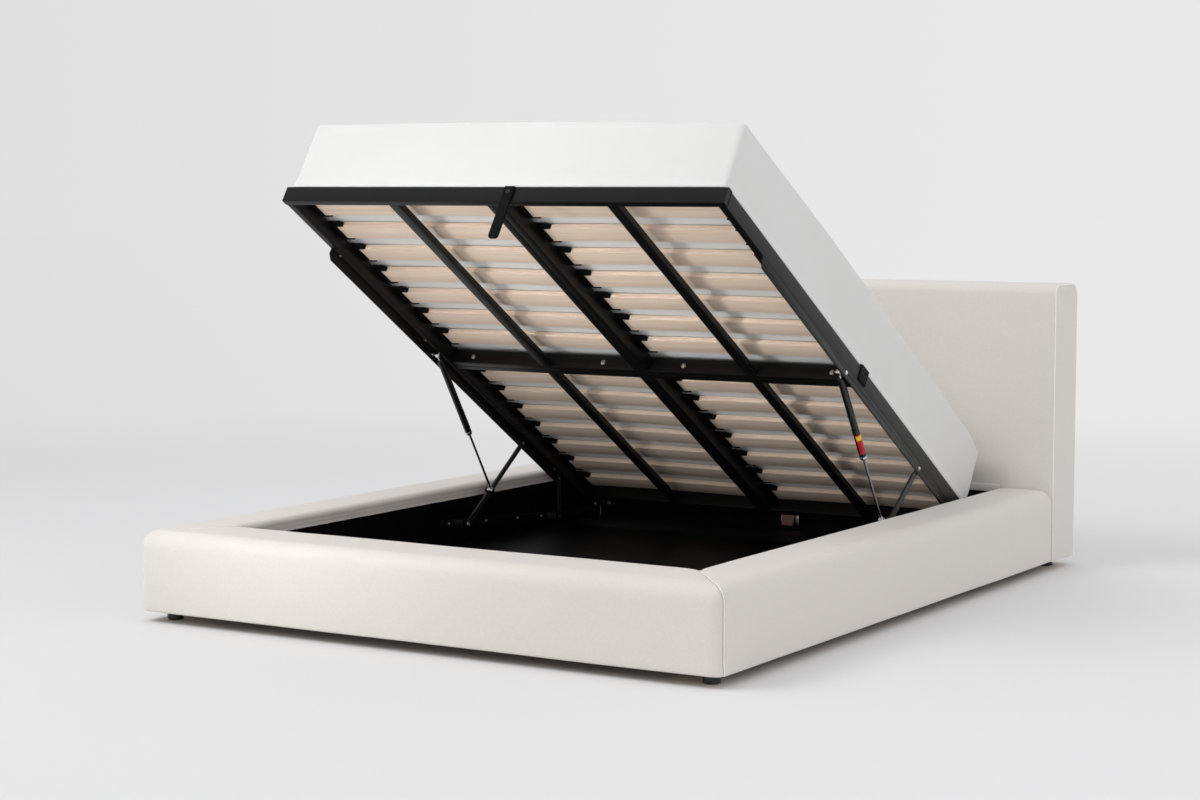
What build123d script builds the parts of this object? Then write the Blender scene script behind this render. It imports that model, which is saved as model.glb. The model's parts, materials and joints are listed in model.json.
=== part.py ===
"""Ottoman storage bed with a gas-sprung lifting platform, modelled with the platform up.

Millimetres. +X is the right side seen from the foot, +Y runs from the foot to the headboard and
+Z is up. The origin is at floor level, under the middle of the bed. The platform and what rides
on it are drawn in the platform's own frame (origin at the middle of its top foot edge, +Y towards
the head, top plane at Z = 0) and then set at the raised position.
"""

import os
from math import atan2, cos, degrees, hypot, radians, sin, sqrt

from build123d import *

# ---------------------------------------------------------------- overall sizes
base_width = 1965.0
base_length = 2515.0
headboard_height = 960.0
headboard_thickness = 200.0
rail_top = 273.0
base_underside = 30.0
side_rail_width = 192.0
foot_rail_width = 226.0

# ---------------------------------------------------------------- upholstery
rail_outer_radius = 50.0
rail_inner_radius = 20.0
rail_bottom_radius = 8.0
corner_radius = 30.0
headboard_front_radius = 32.0
headboard_back_radius = 45.0
outer_padding = 22.0
inner_padding = 5.0
headboard_padding = 12.0
hem_depth = 45.0
headboard_hem = 255.0

# ---------------------------------------------------------------- timber of the base
board = 18.0
board_gap = 1.0
foot_block_length = 130.0
panel = 9.0
post_width = 40.0
headboard_rail_height = 40.0
lining = 2.5
ledge = 22.0
batten_width = 70.0
batten = 12.0
batten_count = 3
batten_inset = 260.0
floor_panel = 6.0
floor_top = 66.0
floor_gap = 3.0

# ---------------------------------------------------------------- feet, legs and brackets of the base
foot_radius = 24.0
foot_neck_radius = 21.0
foot_neck_height = 6.0
foot_inset_across = 70.0
foot_inset_along = 82.0
leg_radius = 22.0
leg_spread = 560.0
leg_cap = 6.0
leg_cap_radius = 33.0
angle_leg = 62.0
angle_height = 24.0
angle_thickness = 4.0
angle_base = 101.0
angle_bolt_offset = 42.0
angle_bolt_radius = 6.0
angle_bolt_height = 4.0
rest_block_width = 42.0
rest_block_depth = 24.0
rest_block_height = 34.0
rest_block_base = 87.0
rest_clip = 14.0
rest_clip_thickness = 3.0

# ---------------------------------------------------------------- platform frame
side_clearance = 30.5
closed_foot_gap = 16.0
closed_head_gap = 43.0
platform_width = base_width - 2 * (side_rail_width + side_clearance)
platform_length = base_length - headboard_thickness - foot_rail_width - closed_foot_gap - closed_head_gap
tube_wide = 25.0
tube_high = 50.0
tube_wall = 1.5
side_bar_inset = 3.0
joint_past_middle = 13.0
half_joint = platform_length / 2 + joint_past_middle
centre_tube_wide = 26.5
quarter_bar_width = 36.0
quarter_bar_height = 20.0
quarter_bars_past_middle = (8.0, 30.0)
mid_bolts_from_side = (82.0, 64.0)
mid_bolts_at_centre = (-146.0, 149.0)
mid_bolt_below = 27.0
bolt_radius = 4.0
bolt_clearance = 0.1
bolt_head_radius = 6.5
bolt_head_height = 5.0
nut_height = 6.5
sleeve_length = 54.0
sleeve_thickness = 3.0
sleeve_lap = 7.0
sleeve_skirt = 44.0
sleeve_foot_offset = 22.0
sleeve_rib = 2.5
sleeve_rib_count = 5

# ---------------------------------------------------------------- slats and their holders
slat_width = 70.0
slat_thickness = 16.0
slat_bow = 3.0
slat_underside = 8.0
slat_count = 7
first_slat_front = 82.0
last_slat_front_gap = 53.0
first_slat_rear_gap = 89.0
last_slat_rear_gap = 4.0
slat_end_gap = 0.5
holder_wall = 3.0
holder_roof = 2.7
holder_floor = 1.7
holder_reach = 22.0
holder_ear = 24.0
holder_lip = 16.0
slot_clearance = 0.5

# ---------------------------------------------------------------- mattress and strap
mattress_side_inset = 10.0
mattress_head_inset = 28.0
mattress_height = 240.0
mattress_radius = 38.0
mattress_bevel = 16.0
mattress_corner_radius = 60.0
mattress_cover = 15.0
mattress_foot_inset = 2.0
mattress_width = platform_width - 2 * mattress_side_inset
mattress_length = platform_length - mattress_foot_inset - mattress_head_inset
soft_gap = 0.5
strap_across = 52.0
strap_width = 34.0
strap_length = 178.0
strap_layer = 2.0
strap_fold_gap = 2.0
strap_slot_length = 140.0
strap_screw_below = 20.0
strap_screw_radius = 3.0
strap_screw_clearance = 0.3
strap_screw_head = 7.0
strap_screw_head_height = 2.5

# ---------------------------------------------------------------- lift mechanism
open_angle = 32.5
open_head_gap = 159.3
open_head_height = 193.5
closed_top = 247.5
front_pivot_from_head = 468.0
rear_pivot_from_head = 190.0
pivot_below = 64.5
front_link_length = 421.8
rear_link_length = 137.3
link_width = 21.0
link_thickness = 3.5
link_flange = 4.0
link_flange_start = 42.0
link_flange_end = 30.0
link_boss_radius = 8.0
running_gap = 0.3
pivot_radius = 4.0
pivot_clearance = 0.05
pivot_head_radius = 7.0
pivot_head_height = 3.5
pivot_nut_radius = 7.0

top_rail_length = 1727.0
top_rail_head_inset = 25.0
top_rail_drop = 33.0
top_rail_flange = 25.0
top_rail_thickness = 3.0
top_rail_chamfer = 16.0
top_rail_bolts_from_end = (1690.0, 1155.0, 220.0)
top_bolt_radius = 6.5
top_bolt_height = 4.0

bracket_width = 28.0
bracket_thickness = 4.0
bracket_foot_overhang = 105.0
bracket_head_overhang = 310.0
bracket_screws_along = (-56.0, 168.0, 366.0, 520.0)
bracket_screw_radius = 5.5
bracket_screw_height = 3.0
bracket_corner = 4.0
ear_thickness = 4.0
ear_radius = 13.0
ear_reach = 26.0

spring_inset = 25.0
spring_top_from_head = 1104.0
spring_top_below = 66.0
spring_foot_along = 155.0
spring_foot_above = 17.0
ball_radius = 6.5
ball_chamfer = 2.5
ball_stud_radius = 4.0
ball_stud_flange = 7.0
ball_stud_flange_height = 3.0
ball_clearance = 0.3
socket_radius = 9.0
socket_depth = 8.0
socket_neck = 22.0
socket_neck_radius = 5.0
cylinder_radius = 10.0
cylinder_length = 296.0
cylinder_wall = 1.5
cylinder_plug = 12.0
collar_length = 14.0
collar_radius = 10.6
label_length = 62.0
label_inset = 12.0
label_thickness = 0.3
label_gap = 0.1
rod_radius = 4.0
rod_gap = 0.3
piston_length = 12.0
rod_hidden = 20.0

# ---------------------------------------------------------------- places worked out from the sizes
foot_face = -base_length / 2
head_face = base_length / 2 - headboard_thickness
open_head_edge = head_face - open_head_gap
open_foot_edge = open_head_edge - platform_length * cos(radians(open_angle))
open_foot_height = open_head_height + platform_length * sin(radians(open_angle))
opening_front = foot_face + foot_rail_width
opening_half = base_width / 2 - side_rail_width
lining_side = opening_half + inner_padding
side_bar_outer = platform_width / 2 - side_bar_inset
side_bar_inner = side_bar_outer - tube_wide
quarter_bars_across = (
    quarter_bars_past_middle[0] - side_bar_inner / 2,
    quarter_bars_past_middle[1] + side_bar_inner / 2,
)
mid_bolts_across = (
    mid_bolts_from_side[0] - side_bar_inner,
    *mid_bolts_at_centre,
    side_bar_inner - mid_bolts_from_side[1],
)
first_slat_rear = half_joint + tube_wide + first_slat_rear_gap
last_slat_front = half_joint - tube_wide - last_slat_front_gap - slat_width
last_slat_rear = platform_length - tube_wide - last_slat_rear_gap - slat_width
front_pivot_along = platform_length - front_pivot_from_head
rear_pivot_along = platform_length - rear_pivot_from_head
spring_top_along = platform_length - spring_top_from_head
top_rail_end = platform_length - top_rail_head_inset
top_rail_start = top_rail_end - top_rail_length
top_rail_bolts_along = [top_rail_end - reach for reach in top_rail_bolts_from_end]
batten_base = floor_top - floor_panel - batten
flange_inner = side_bar_outer - top_rail_thickness
link_outer = flange_inner - running_gap
link_inner = link_outer - link_thickness
boss_inner = link_inner - link_flange
stud_end = boss_inner - running_gap
spring_plane = side_bar_outer - spring_inset
ear_inner = link_outer + running_gap
ear_outer = ear_inner + ear_thickness
bracket_outer = lining_side - lining
bracket_inner = bracket_outer - bracket_thickness


def raised(along, below):
    """Return (y, z) of a point of the platform, given from its top foot edge, when it is up."""
    turn = radians(open_angle)
    y = open_foot_edge + along * cos(turn) - below * sin(turn)
    z = open_foot_height - along * sin(turn) - below * cos(turn)
    return y, z


def lowered(along, below):
    """Return (y, z) of the same point when the platform is down."""
    return opening_front + closed_foot_gap + along, closed_top - below


def base_pivot(along, below, length):
    """Return the pivot on the base that a link of this length swings about.

    It is as far from the link's upper pivot when the platform is up as when it is down, and it
    lies below the line between the two.
    """
    up, down = raised(along, below), lowered(along, below)
    across, fall = down[0] - up[0], down[1] - up[1]
    chord = hypot(across, fall)
    stand_off = sqrt(length**2 - (chord / 2) ** 2)
    middle = ((up[0] + down[0]) / 2, (up[1] + down[1]) / 2)
    return middle[0] + stand_off * fall / chord, middle[1] - stand_off * across / chord


front_top = raised(front_pivot_along, pivot_below)
rear_top = raised(rear_pivot_along, pivot_below)
front_foot = base_pivot(front_pivot_along, pivot_below, front_link_length)
rear_foot = base_pivot(rear_pivot_along, pivot_below, rear_link_length)
pivot_spread = hypot(rear_foot[0] - front_foot[0], rear_foot[1] - front_foot[1])
front_link_angle = degrees(atan2(front_top[1] - front_foot[1], front_top[0] - front_foot[0]))
rear_link_angle = degrees(atan2(rear_top[1] - rear_foot[1], rear_top[0] - rear_foot[0]))
bracket_angle = degrees(atan2(rear_foot[1] - front_foot[1], rear_foot[0] - front_foot[0]))
spring_top = raised(spring_top_along, spring_top_below)
spring_foot = (
    front_foot[0]
    + spring_foot_along * cos(radians(front_link_angle))
    - spring_foot_above * sin(radians(front_link_angle)),
    front_foot[1]
    + spring_foot_along * sin(radians(front_link_angle))
    + spring_foot_above * cos(radians(front_link_angle)),
)
spring_length = hypot(spring_foot[0] - spring_top[0], spring_foot[1] - spring_top[1])
spring_angle = degrees(atan2(spring_foot[1] - spring_top[1], spring_foot[0] - spring_top[0]))

RAISED = Pos(0, open_foot_edge, open_foot_height) * Rot(-open_angle, 0, 0)
FRONT_LINK = Pos(0, *front_foot) * Rot(front_link_angle, 0, 0)
REAR_LINK = Pos(0, *rear_foot) * Rot(rear_link_angle, 0, 0)
BRACKET = Pos(0, *front_foot) * Rot(bracket_angle, 0, 0)
SPRING = Pos(0, *spring_top) * Rot(spring_angle, 0, 0)


# ---------------------------------------------------------------- small helpers
ON_END = (Align.CENTER, Align.CENTER, Align.MIN)


def block(x, y, z):
    """Return a box from its low and high value on each axis."""
    low = Align.MIN
    corner = Pos(x[0], y[0], z[0])
    return corner * Box(x[1] - x[0], y[1] - y[0], z[1] - z[0], align=(low, low, low))


def rod_across(x, y, z, radius):
    """Return a round bar along X between the two x values."""
    return Pos(x[0], y, z) * Rot(0, 90, 0) * Cylinder(radius, x[1] - x[0], align=ON_END)


def rod_along(x, y, z, radius):
    """Return a round bar along Y between the two y values."""
    return Pos(x, y[0], z) * Rot(-90, 0, 0) * Cylinder(radius, y[1] - y[0], align=ON_END)


def rod_up(x, y, z, radius):
    """Return an upright round bar between the two z values."""
    return Pos(x, y, z[0]) * Cylinder(radius, z[1] - z[0], align=ON_END)


def hexagon_across(x, y, z, radius):
    """Return a hexagonal head or nut with its axis along X."""
    profile = Plane.YZ * Pos(y, z) * RegularPolygon(radius, 6)
    return Pos(x[0], 0, 0) * extrude(profile, x[1] - x[0], dir=(1, 0, 0))


def hexagon_along(x, y, z, radius):
    """Return a hexagonal head or nut with its axis along Y."""
    profile = Plane.XZ * Pos(x, z) * RegularPolygon(radius, 6)
    return Pos(0, y[0], 0) * extrude(profile, y[1] - y[0], dir=(0, 1, 0))


def hexagon_up(x, y, z, radius):
    """Return an upright hexagonal head or nut."""
    return Pos(x, y, z[0]) * extrude(RegularPolygon(radius, 6), z[1] - z[0])


def mirrored(part):
    """Return the part's mirror image on the left side of the bed."""
    return mirror(part, about=Plane.YZ)


def both_sides(part):
    """Return the part and its mirror image as one list of solids."""
    return [part, mirrored(part)]


def group(parts):
    """Return several separate solids as one compound."""
    solids = [solid for part in parts for solid in part.solids()]
    return Compound(children=solids)


# ---------------------------------------------------------------- upholstered rails
def rail_profile(width, inset_outer, inset_inner, top):
    """Return the rectangle that a rail's timber box fills, in (distance in, height)."""
    low, high = Vector(inset_outer, base_underside), Vector(width - inset_inner, top)
    return Pos((low.X + high.X) / 2, (low.Y + high.Y) / 2) * Rectangle(high.X - low.X, high.Y - low.Y)


def cover_profile(width):
    """Return the closed outline of a rail's padded cover: outer wall, top and inner hem."""
    core_top = rail_top - outer_padding
    hem = rail_top - hem_depth
    inner = width - inner_padding
    with BuildSketch() as sketch:
        with BuildLine():
            bottom = Line((outer_padding, base_underside), (rail_bottom_radius, base_underside))
            low_arc = RadiusArc(bottom @ 1, (0, base_underside + rail_bottom_radius), rail_bottom_radius)
            wall = Line(low_arc @ 1, (0, rail_top - rail_outer_radius))
            top_arc = RadiusArc(wall @ 1, (rail_outer_radius, rail_top), rail_outer_radius)
            crown = Line(top_arc @ 1, (width - rail_inner_radius, rail_top))
            inner_arc = RadiusArc(crown @ 1, (width, rail_top - rail_inner_radius), rail_inner_radius)
            Polyline(
                inner_arc @ 1,
                (width, hem),
                (inner, hem),
                (inner, core_top),
                (outer_padding, core_top),
                (outer_padding, base_underside),
            )
        make_face()
    return sketch.sketch


def plan_outline():
    """Return a tall prism of the bed's plan, with its two foot corners rounded."""
    prism = block((-base_width / 2, base_width / 2), (foot_face, base_length / 2), (0, headboard_height))
    corners = prism.edges().filter_by(Axis.Z).group_by(Axis.Y)[0]
    return fillet(corners, corner_radius)


def foot_wedge():
    """Return the prism that holds all of the foot rail, cut at the mitres of its two corners."""
    half, reach = base_width / 2, foot_rail_width * base_width / 2 / side_rail_width
    outline = Polyline((-half, foot_face), (half, foot_face), (0, foot_face + reach), close=True)
    return extrude(make_face(outline), headboard_height)


def foot_run(profile):
    """Return a profile drawn along the foot rail, from one side of the bed to the other."""
    placed = Plane(origin=(-base_width / 2, foot_face, 0), x_dir=(0, 1, 0), z_dir=(1, 0, 0)) * profile
    return extrude(placed, base_width)


def side_run(profile):
    """Return a profile drawn along the right side rail, from the foot to the headboard."""
    placed = Plane(origin=(base_width / 2, foot_face, 0), x_dir=(-1, 0, 0), z_dir=(0, 1, 0)) * profile
    return extrude(placed, base_length - headboard_thickness)


def foot_rail_cover():
    """Return the padded cover of the foot rail, mitred at both ends."""
    return foot_run(cover_profile(foot_rail_width)) & foot_wedge() & plan_outline()


def side_rail_cover():
    """Return the padded cover of the right side rail, mitred at the foot."""
    return side_run(cover_profile(side_rail_width)) - foot_wedge() & plan_outline()


def timber_box(width):
    """Return the inverted channel of boards that a rail is built on, as a closed outline."""
    core_top = rail_top - outer_padding
    outer = rail_profile(width, outer_padding, inner_padding, core_top)
    hollow = rail_profile(width, outer_padding + board, inner_padding + board, core_top - board)
    return outer - hollow


def foot_rail_box():
    """Return the foot rail's boards, running between the two side rails."""
    half = lining_side - board_gap
    run = foot_run(timber_box(foot_rail_width))
    return run & block((-half, half), (foot_face, opening_front), (0, rail_top))


def side_rail_box():
    """Return the right side rail's boards, closed at the foot and with a block for the foot."""
    core_top = rail_top - outer_padding
    start = foot_face + outer_padding
    run = side_run(timber_box(side_rail_width))
    trimmed = run & block((0, base_width / 2), (start, head_face), (0, rail_top))
    between = (lining_side + board, base_width / 2 - outer_padding - board)
    closing = block(between, (start, start + board), (base_underside, core_top - board))
    foot_block = block(
        between, (start + board, start + foot_block_length), (base_underside, base_underside + board)
    )
    return trimmed + closing + foot_block


# ---------------------------------------------------------------- headboard
def headboard_shell(padding, top, side):
    """Return the headboard's block, drawn in by the padding of its faces, top and sides."""
    return block(
        (-base_width / 2 + side, base_width / 2 - side),
        (head_face + padding, base_length / 2 - padding),
        (base_underside, headboard_height - top),
    )


def headboard_cover():
    """Return the padded cover of the headboard, open underneath."""
    outside = headboard_shell(0, 0, 0)
    front_top = outside.edges().filter_by(Axis.X).group_by(Axis.Z)[-1].sort_by(Axis.Y)[0]
    outside = fillet(front_top, headboard_front_radius)
    back_top = outside.edges().filter_by(Axis.X).group_by(Axis.Z)[-1].sort_by(Axis.Y)[-1]
    outside = fillet(back_top, headboard_back_radius)
    return outside - headboard_shell(headboard_padding, outer_padding, outer_padding)


def headboard_frame():
    """Return the posts and rails inside the headboard, as separate timbers."""
    x_out = base_width / 2 - outer_padding
    skin = headboard_padding + panel
    y_span = (head_face + skin, base_length / 2 - skin)
    top = headboard_height - outer_padding
    post = block((x_out - post_width, x_out), y_span, (base_underside, top))
    rails = [
        block((-x_out + post_width, x_out - post_width), y_span, (low, low + headboard_rail_height))
        for low in (base_underside, rail_top, top - headboard_rail_height)
    ]
    return group(both_sides(post) + rails)


def headboard_panels():
    """Return the thin boards on the front and back of the headboard's frame."""
    x_span = (-base_width / 2 + outer_padding, base_width / 2 - outer_padding)
    z_span = (base_underside, headboard_height - outer_padding)
    front = head_face + headboard_padding
    back = base_length / 2 - headboard_padding
    faces = ((front, front + panel), (back - panel, back))
    return group([block(x_span, y_span, z_span) for y_span in faces])


# ---------------------------------------------------------------- storage space
def storage_lining():
    """Return the black cloth on the four inner walls, from the floor up to the hems."""
    low, high = floor_top - floor_panel, rail_top - hem_depth
    foot_wall = opening_front - inner_padding
    side = block((bracket_outer, lining_side), (foot_wall, head_face), (low, high))
    foot = block((-bracket_outer, bracket_outer), (foot_wall, foot_wall + lining), (low, high))
    head = block((-bracket_outer, bracket_outer), (head_face - lining, head_face), (low, high))
    head += block((-opening_half, opening_half), (head_face - lining, head_face), (high, headboard_hem))
    return group(both_sides(side) + [foot, head])


def floor_ledges():
    """Return the strips along the two sides that carry the battens."""
    x_span = (lining_side - ledge, lining_side)
    y_span = (opening_front - inner_padding, head_face)
    return group(both_sides(block(x_span, y_span, (base_underside, batten_base))))


def batten_places():
    """Return the middle of each cross batten along the bed."""
    start, end = opening_front + batten_inset, head_face - batten_inset
    step = (end - start) / (batten_count - 1)
    return [start + step * i for i in range(batten_count)]


def floor_battens():
    """Return the battens across the bed that the floor lies on."""
    half = lining_side - board_gap
    z_span = (batten_base, batten_base + batten)
    return group([
        block((-half, half), (y - batten_width / 2, y + batten_width / 2), z_span) for y in batten_places()
    ])


def floor_panels():
    """Return the foot and head floor panels, which meet over the middle batten."""
    half = bracket_outer - board_gap
    middle = batten_places()[batten_count // 2]
    foot_end = opening_front - inner_padding + lining + board_gap
    head_end = head_face - lining - board_gap
    z_span = (floor_top - floor_panel, floor_top)
    return (
        block((-half, half), (foot_end, middle - floor_gap / 2), z_span),
        block((-half, half), (middle + floor_gap / 2, head_end), z_span),
    )


# ---------------------------------------------------------------- feet, legs, angles and rest block
def foot(x, y):
    """Return one round glide with a narrower neck against the base."""
    shoulder = base_underside - foot_neck_height
    pad = rod_up(x, y, (0, shoulder), foot_radius)
    return pad + rod_up(x, y, (shoulder, base_underside), foot_neck_radius)


def feet():
    """Return the four glides under the corners of the bed."""
    x = base_width / 2 - foot_inset_across
    places = (foot_face + foot_inset_along, base_length / 2 - foot_inset_along)
    return group([foot(side * x, y) for side in (-1, 1) for y in places])


def centre_legs():
    """Return the two legs that carry the middle batten."""
    y = batten_places()[batten_count // 2]
    legs = []
    for x in (-leg_spread / 2, leg_spread / 2):
        leg = rod_up(x, y, (0, batten_base - leg_cap), leg_radius)
        legs.append(leg + rod_up(x, y, (batten_base - leg_cap, batten_base), leg_cap_radius))
    return group(legs)


def inner_corners():
    """Return the two right-hand corners of the lined space, each with its way in along Y."""
    foot_wall = opening_front - inner_padding + lining
    return ((foot_wall, 1), (head_face - lining, -1))


def corner_angle(corner_y, inward):
    """Return a steel angle that ties the right side rail to the rail or headboard across it."""
    z_span = (angle_base, angle_base + angle_height)
    far, thin = corner_y + inward * angle_leg, corner_y + inward * angle_thickness
    on_side = block((bracket_outer - angle_thickness, bracket_outer), sorted((corner_y, far)), z_span)
    across = block((bracket_outer - angle_leg, bracket_outer), sorted((corner_y, thin)), z_span)
    return on_side + across


def corner_angle_bolts(corner_y, inward):
    """Return the two bolt heads that hold a right-hand corner angle."""
    z = angle_base + angle_height / 2
    x_face = bracket_outer - angle_thickness
    y_face = corner_y + inward * angle_thickness
    y_span = sorted((y_face, y_face + inward * angle_bolt_height))
    y = corner_y + inward * angle_bolt_offset
    x = bracket_outer - angle_bolt_offset
    return [
        hexagon_across((x_face - angle_bolt_height, x_face), y, z, angle_bolt_radius),
        hexagon_along(x, y_span, z, angle_bolt_radius),
    ]


def corner_angles():
    """Return the four steel angles in the corners of the storage space."""
    return group([angle for corner in inner_corners() for angle in both_sides(corner_angle(*corner))])


def corner_bolts():
    """Return the bolt heads of the four corner angles."""
    heads = [head for corner in inner_corners() for head in corner_angle_bolts(*corner)]
    return group([bolt for head in heads for bolt in both_sides(head)])


def rest_block():
    """Return the timber block in the middle of the headboard's inner face."""
    face = head_face - lining
    half = rest_block_width / 2
    z_span = (rest_block_base, rest_block_base + rest_block_height)
    return block((-half, half), (face - rest_block_depth, face), z_span)


def rest_block_clips():
    """Return the two bent clips that hold the rest block."""
    face = head_face - lining
    inner = rest_block_width / 2
    z_span = (rest_block_base, rest_block_base + rest_block_height)
    upright = block((inner, inner + rest_clip_thickness), (face - rest_block_depth, face), z_span)
    flat = block((inner, inner + rest_clip), (face - rest_clip_thickness, face), z_span)
    return group(both_sides(upright + flat))


# ---------------------------------------------------------------- base brackets of the lift mechanism
def pivot_ear(along):
    """Return a bent ear of the bracket, around the pivot this far along it."""
    heel = along - ear_reach
    z_span = (-ear_radius, ear_radius)
    web = block((ear_inner, bracket_inner), (heel, heel + ear_thickness), z_span)
    plate = block((ear_inner, ear_outer), (heel, along), z_span)
    eye = rod_across((ear_inner, ear_outer), along, 0, ear_radius)
    return web + plate + eye - rod_across((ear_inner, ear_outer), along, 0, pivot_radius + pivot_clearance)


def base_bracket():
    """Return the right bracket bar on the side wall, with its two pivot ears."""
    bar = block(
        (bracket_inner, bracket_outer),
        (-bracket_foot_overhang, pivot_spread + bracket_head_overhang),
        (-bracket_width / 2, bracket_width / 2),
    )
    bar = chamfer(bar.edges().filter_by(Axis.X), bracket_corner)
    return BRACKET * (bar + pivot_ear(0) + pivot_ear(pivot_spread))


def base_bracket_screws():
    """Return the screw heads of both base brackets."""
    span = (bracket_inner - bracket_screw_height, bracket_inner)
    heads = [hexagon_across(span, along, 0, bracket_screw_radius) for along in bracket_screws_along]
    return group([screw for head in heads for screw in both_sides(BRACKET * head)])


def lower_pivots():
    """Return the lower pivot bolts: whole at the front links, shank and nut alone at the rear ones."""
    head_end = link_inner - running_gap
    nut_span = (ear_outer, ear_outer + nut_height)
    head = rod_across((head_end - pivot_head_height, head_end), 0, 0, pivot_head_radius)
    front = head + rod_across((head_end, ear_outer), 0, 0, pivot_radius)
    front += hexagon_across(nut_span, 0, 0, pivot_nut_radius)
    rear = rod_across((ear_inner, ear_outer), pivot_spread, 0, pivot_radius)
    rear += hexagon_across(nut_span, pivot_spread, 0, pivot_nut_radius)
    return group(both_sides(BRACKET * front) + both_sides(BRACKET * rear))


# ---------------------------------------------------------------- links
def flat_link(length):
    """Return a flat link with round ends, from the origin along +Y, in the plane of the links."""
    outline = Plane.YZ * Pos(length / 2, 0) * SlotCenterToCenter(length, link_width)
    return Pos(link_inner, 0, 0) * extrude(outline, link_thickness, dir=(1, 0, 0))


def link_eye(along):
    """Return the hole of a link's pivot."""
    return rod_across((link_inner, link_outer), along, 0, pivot_radius + pivot_clearance)


def front_link():
    """Return the right front link, with a stiffening flange and the boss of its gas spring."""
    edge = link_width / 2
    start, end = link_flange_start, front_link_length - link_flange_end
    outline = Polyline(
        (boss_inner, start + link_flange),
        (link_inner, start),
        (link_inner, end),
        (boss_inner, end - link_flange),
        close=True,
    )
    flange = Pos(0, 0, edge - link_thickness) * extrude(make_face(outline), link_thickness)
    lug = rod_across((link_inner, link_outer), spring_foot_along, spring_foot_above, edge)
    boss = rod_across((boss_inner, link_inner), spring_foot_along, spring_foot_above, link_boss_radius)
    link = flat_link(front_link_length) + flange + lug + boss
    return FRONT_LINK * (link - link_eye(0) - link_eye(front_link_length))


def rear_link():
    """Return the right rear link, with the head of the lower pivot bolt on its lower end."""
    bar = flat_link(rear_link_length) - link_eye(rear_link_length)
    head = rod_across((link_inner - pivot_head_height, link_inner), 0, 0, pivot_head_radius)
    return REAR_LINK * (bar + head)


# ---------------------------------------------------------------- gas springs
def ball_stud(face):
    """Return a ball in the plane of the springs, on a stud and collar that end at this face.

    The ball is a short bar with chamfered ends, which keeps the model light.
    """
    ball = rod_across((spring_plane - ball_radius, spring_plane + ball_radius), 0, 0, ball_radius)
    ball = chamfer(ball.edges().filter_by(GeomType.CIRCLE), ball_chamfer)
    stud = rod_across((spring_plane, face), 0, 0, ball_stud_radius)
    return ball + stud + rod_across((face - ball_stud_flange_height, face), 0, 0, ball_stud_flange)


def ball_socket(toward):
    """Return a socket around a ball at the origin, with its neck along +Y or -Y."""
    cup = rod_across((spring_plane - socket_depth, spring_plane + socket_depth), 0, 0, socket_radius)
    neck = rod_along(spring_plane, sorted((0, toward * socket_neck)), 0, socket_neck_radius)
    bore = ball_radius + ball_clearance
    return cup + neck - rod_across((spring_plane - bore, spring_plane + socket_depth), 0, 0, bore)


def gas_cylinder():
    """Return the right gas cylinder, a tube closed at its upper socket."""
    end = socket_neck + cylinder_length
    body = rod_along(spring_plane, (socket_neck, end), 0, cylinder_radius)
    bore = rod_along(spring_plane, (socket_neck + cylinder_plug, end), 0, cylinder_radius - cylinder_wall)
    return SPRING * (body - bore + ball_socket(1))


def cylinder_collar():
    """Return the guide collar that closes the cylinder round its rod."""
    end = socket_neck + cylinder_length
    collar = rod_along(spring_plane, (end, end + collar_length), 0, collar_radius)
    return SPRING * (collar - rod_along(spring_plane, (end, end + collar_length), 0, rod_radius + rod_gap))


def cylinder_label():
    """Return the plain label that wraps the outer half of the cylinder."""
    end = socket_neck + cylinder_length - label_inset
    span = (end - label_length, end)
    inside = cylinder_radius + label_gap
    wrap = rod_along(spring_plane, span, 0, inside + label_thickness)
    wrap -= rod_along(spring_plane, span, 0, inside)
    reach = cylinder_radius + collar_radius
    return SPRING * (wrap & block((spring_plane, spring_plane + reach), span, (-reach, reach)))


def gas_rod():
    """Return the right rod, with its piston in the cylinder and its lower socket."""
    start = socket_neck + cylinder_length - rod_hidden
    end = spring_length - socket_neck
    rod = rod_along(spring_plane, (start, end), 0, rod_radius)
    piston_radius = cylinder_radius - cylinder_wall - rod_gap
    rod += rod_along(spring_plane, (start, start + piston_length), 0, piston_radius)
    return SPRING * (rod + Pos(0, spring_length, 0) * ball_socket(-1))


def lower_ball_stud():
    """Return the ball stud in the right rod's lower socket."""
    return SPRING * Pos(0, spring_length, 0) * ball_stud(stud_end)


# ---------------------------------------------------------------- top rails, fixed under the platform
def top_rail():
    """Return the right angle section under the side bar, which the links and spring push on."""
    low = -tube_high - top_rail_drop
    high = -tube_high
    across = block(
        (side_bar_outer - top_rail_flange, side_bar_outer),
        (top_rail_start, top_rail_end),
        (high - top_rail_thickness, high),
    )
    outline = Plane.YZ * make_face(Polyline(
        (top_rail_start, high),
        (top_rail_end, high),
        (top_rail_end, low + top_rail_chamfer),
        (top_rail_end - top_rail_chamfer, low),
        (top_rail_start + top_rail_chamfer, low),
        (top_rail_start, low + top_rail_chamfer),
        close=True,
    ))
    web = Pos(flange_inner, 0, 0) * extrude(outline, top_rail_thickness, dir=(1, 0, 0))
    rail = across + web
    rivets = (
        (front_pivot_along, pivot_below),
        (rear_pivot_along, pivot_below),
        (spring_top_along, spring_top_below),
    )
    for along, below in rivets:
        rail -= rod_across((flange_inner, side_bar_outer), along, -below, pivot_radius + pivot_clearance)
    return RAISED * rail


def top_rail_bolts():
    """Return the bolt heads under the flanges of both top rails."""
    top = -tube_high - top_rail_thickness
    x = side_bar_outer - top_rail_flange / 2
    z_span = (top - top_bolt_height, top)
    heads = [hexagon_up(x, along, z_span, top_bolt_radius) for along in top_rail_bolts_along]
    return group([bolt for head in heads for bolt in both_sides(RAISED * head)])


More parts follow.
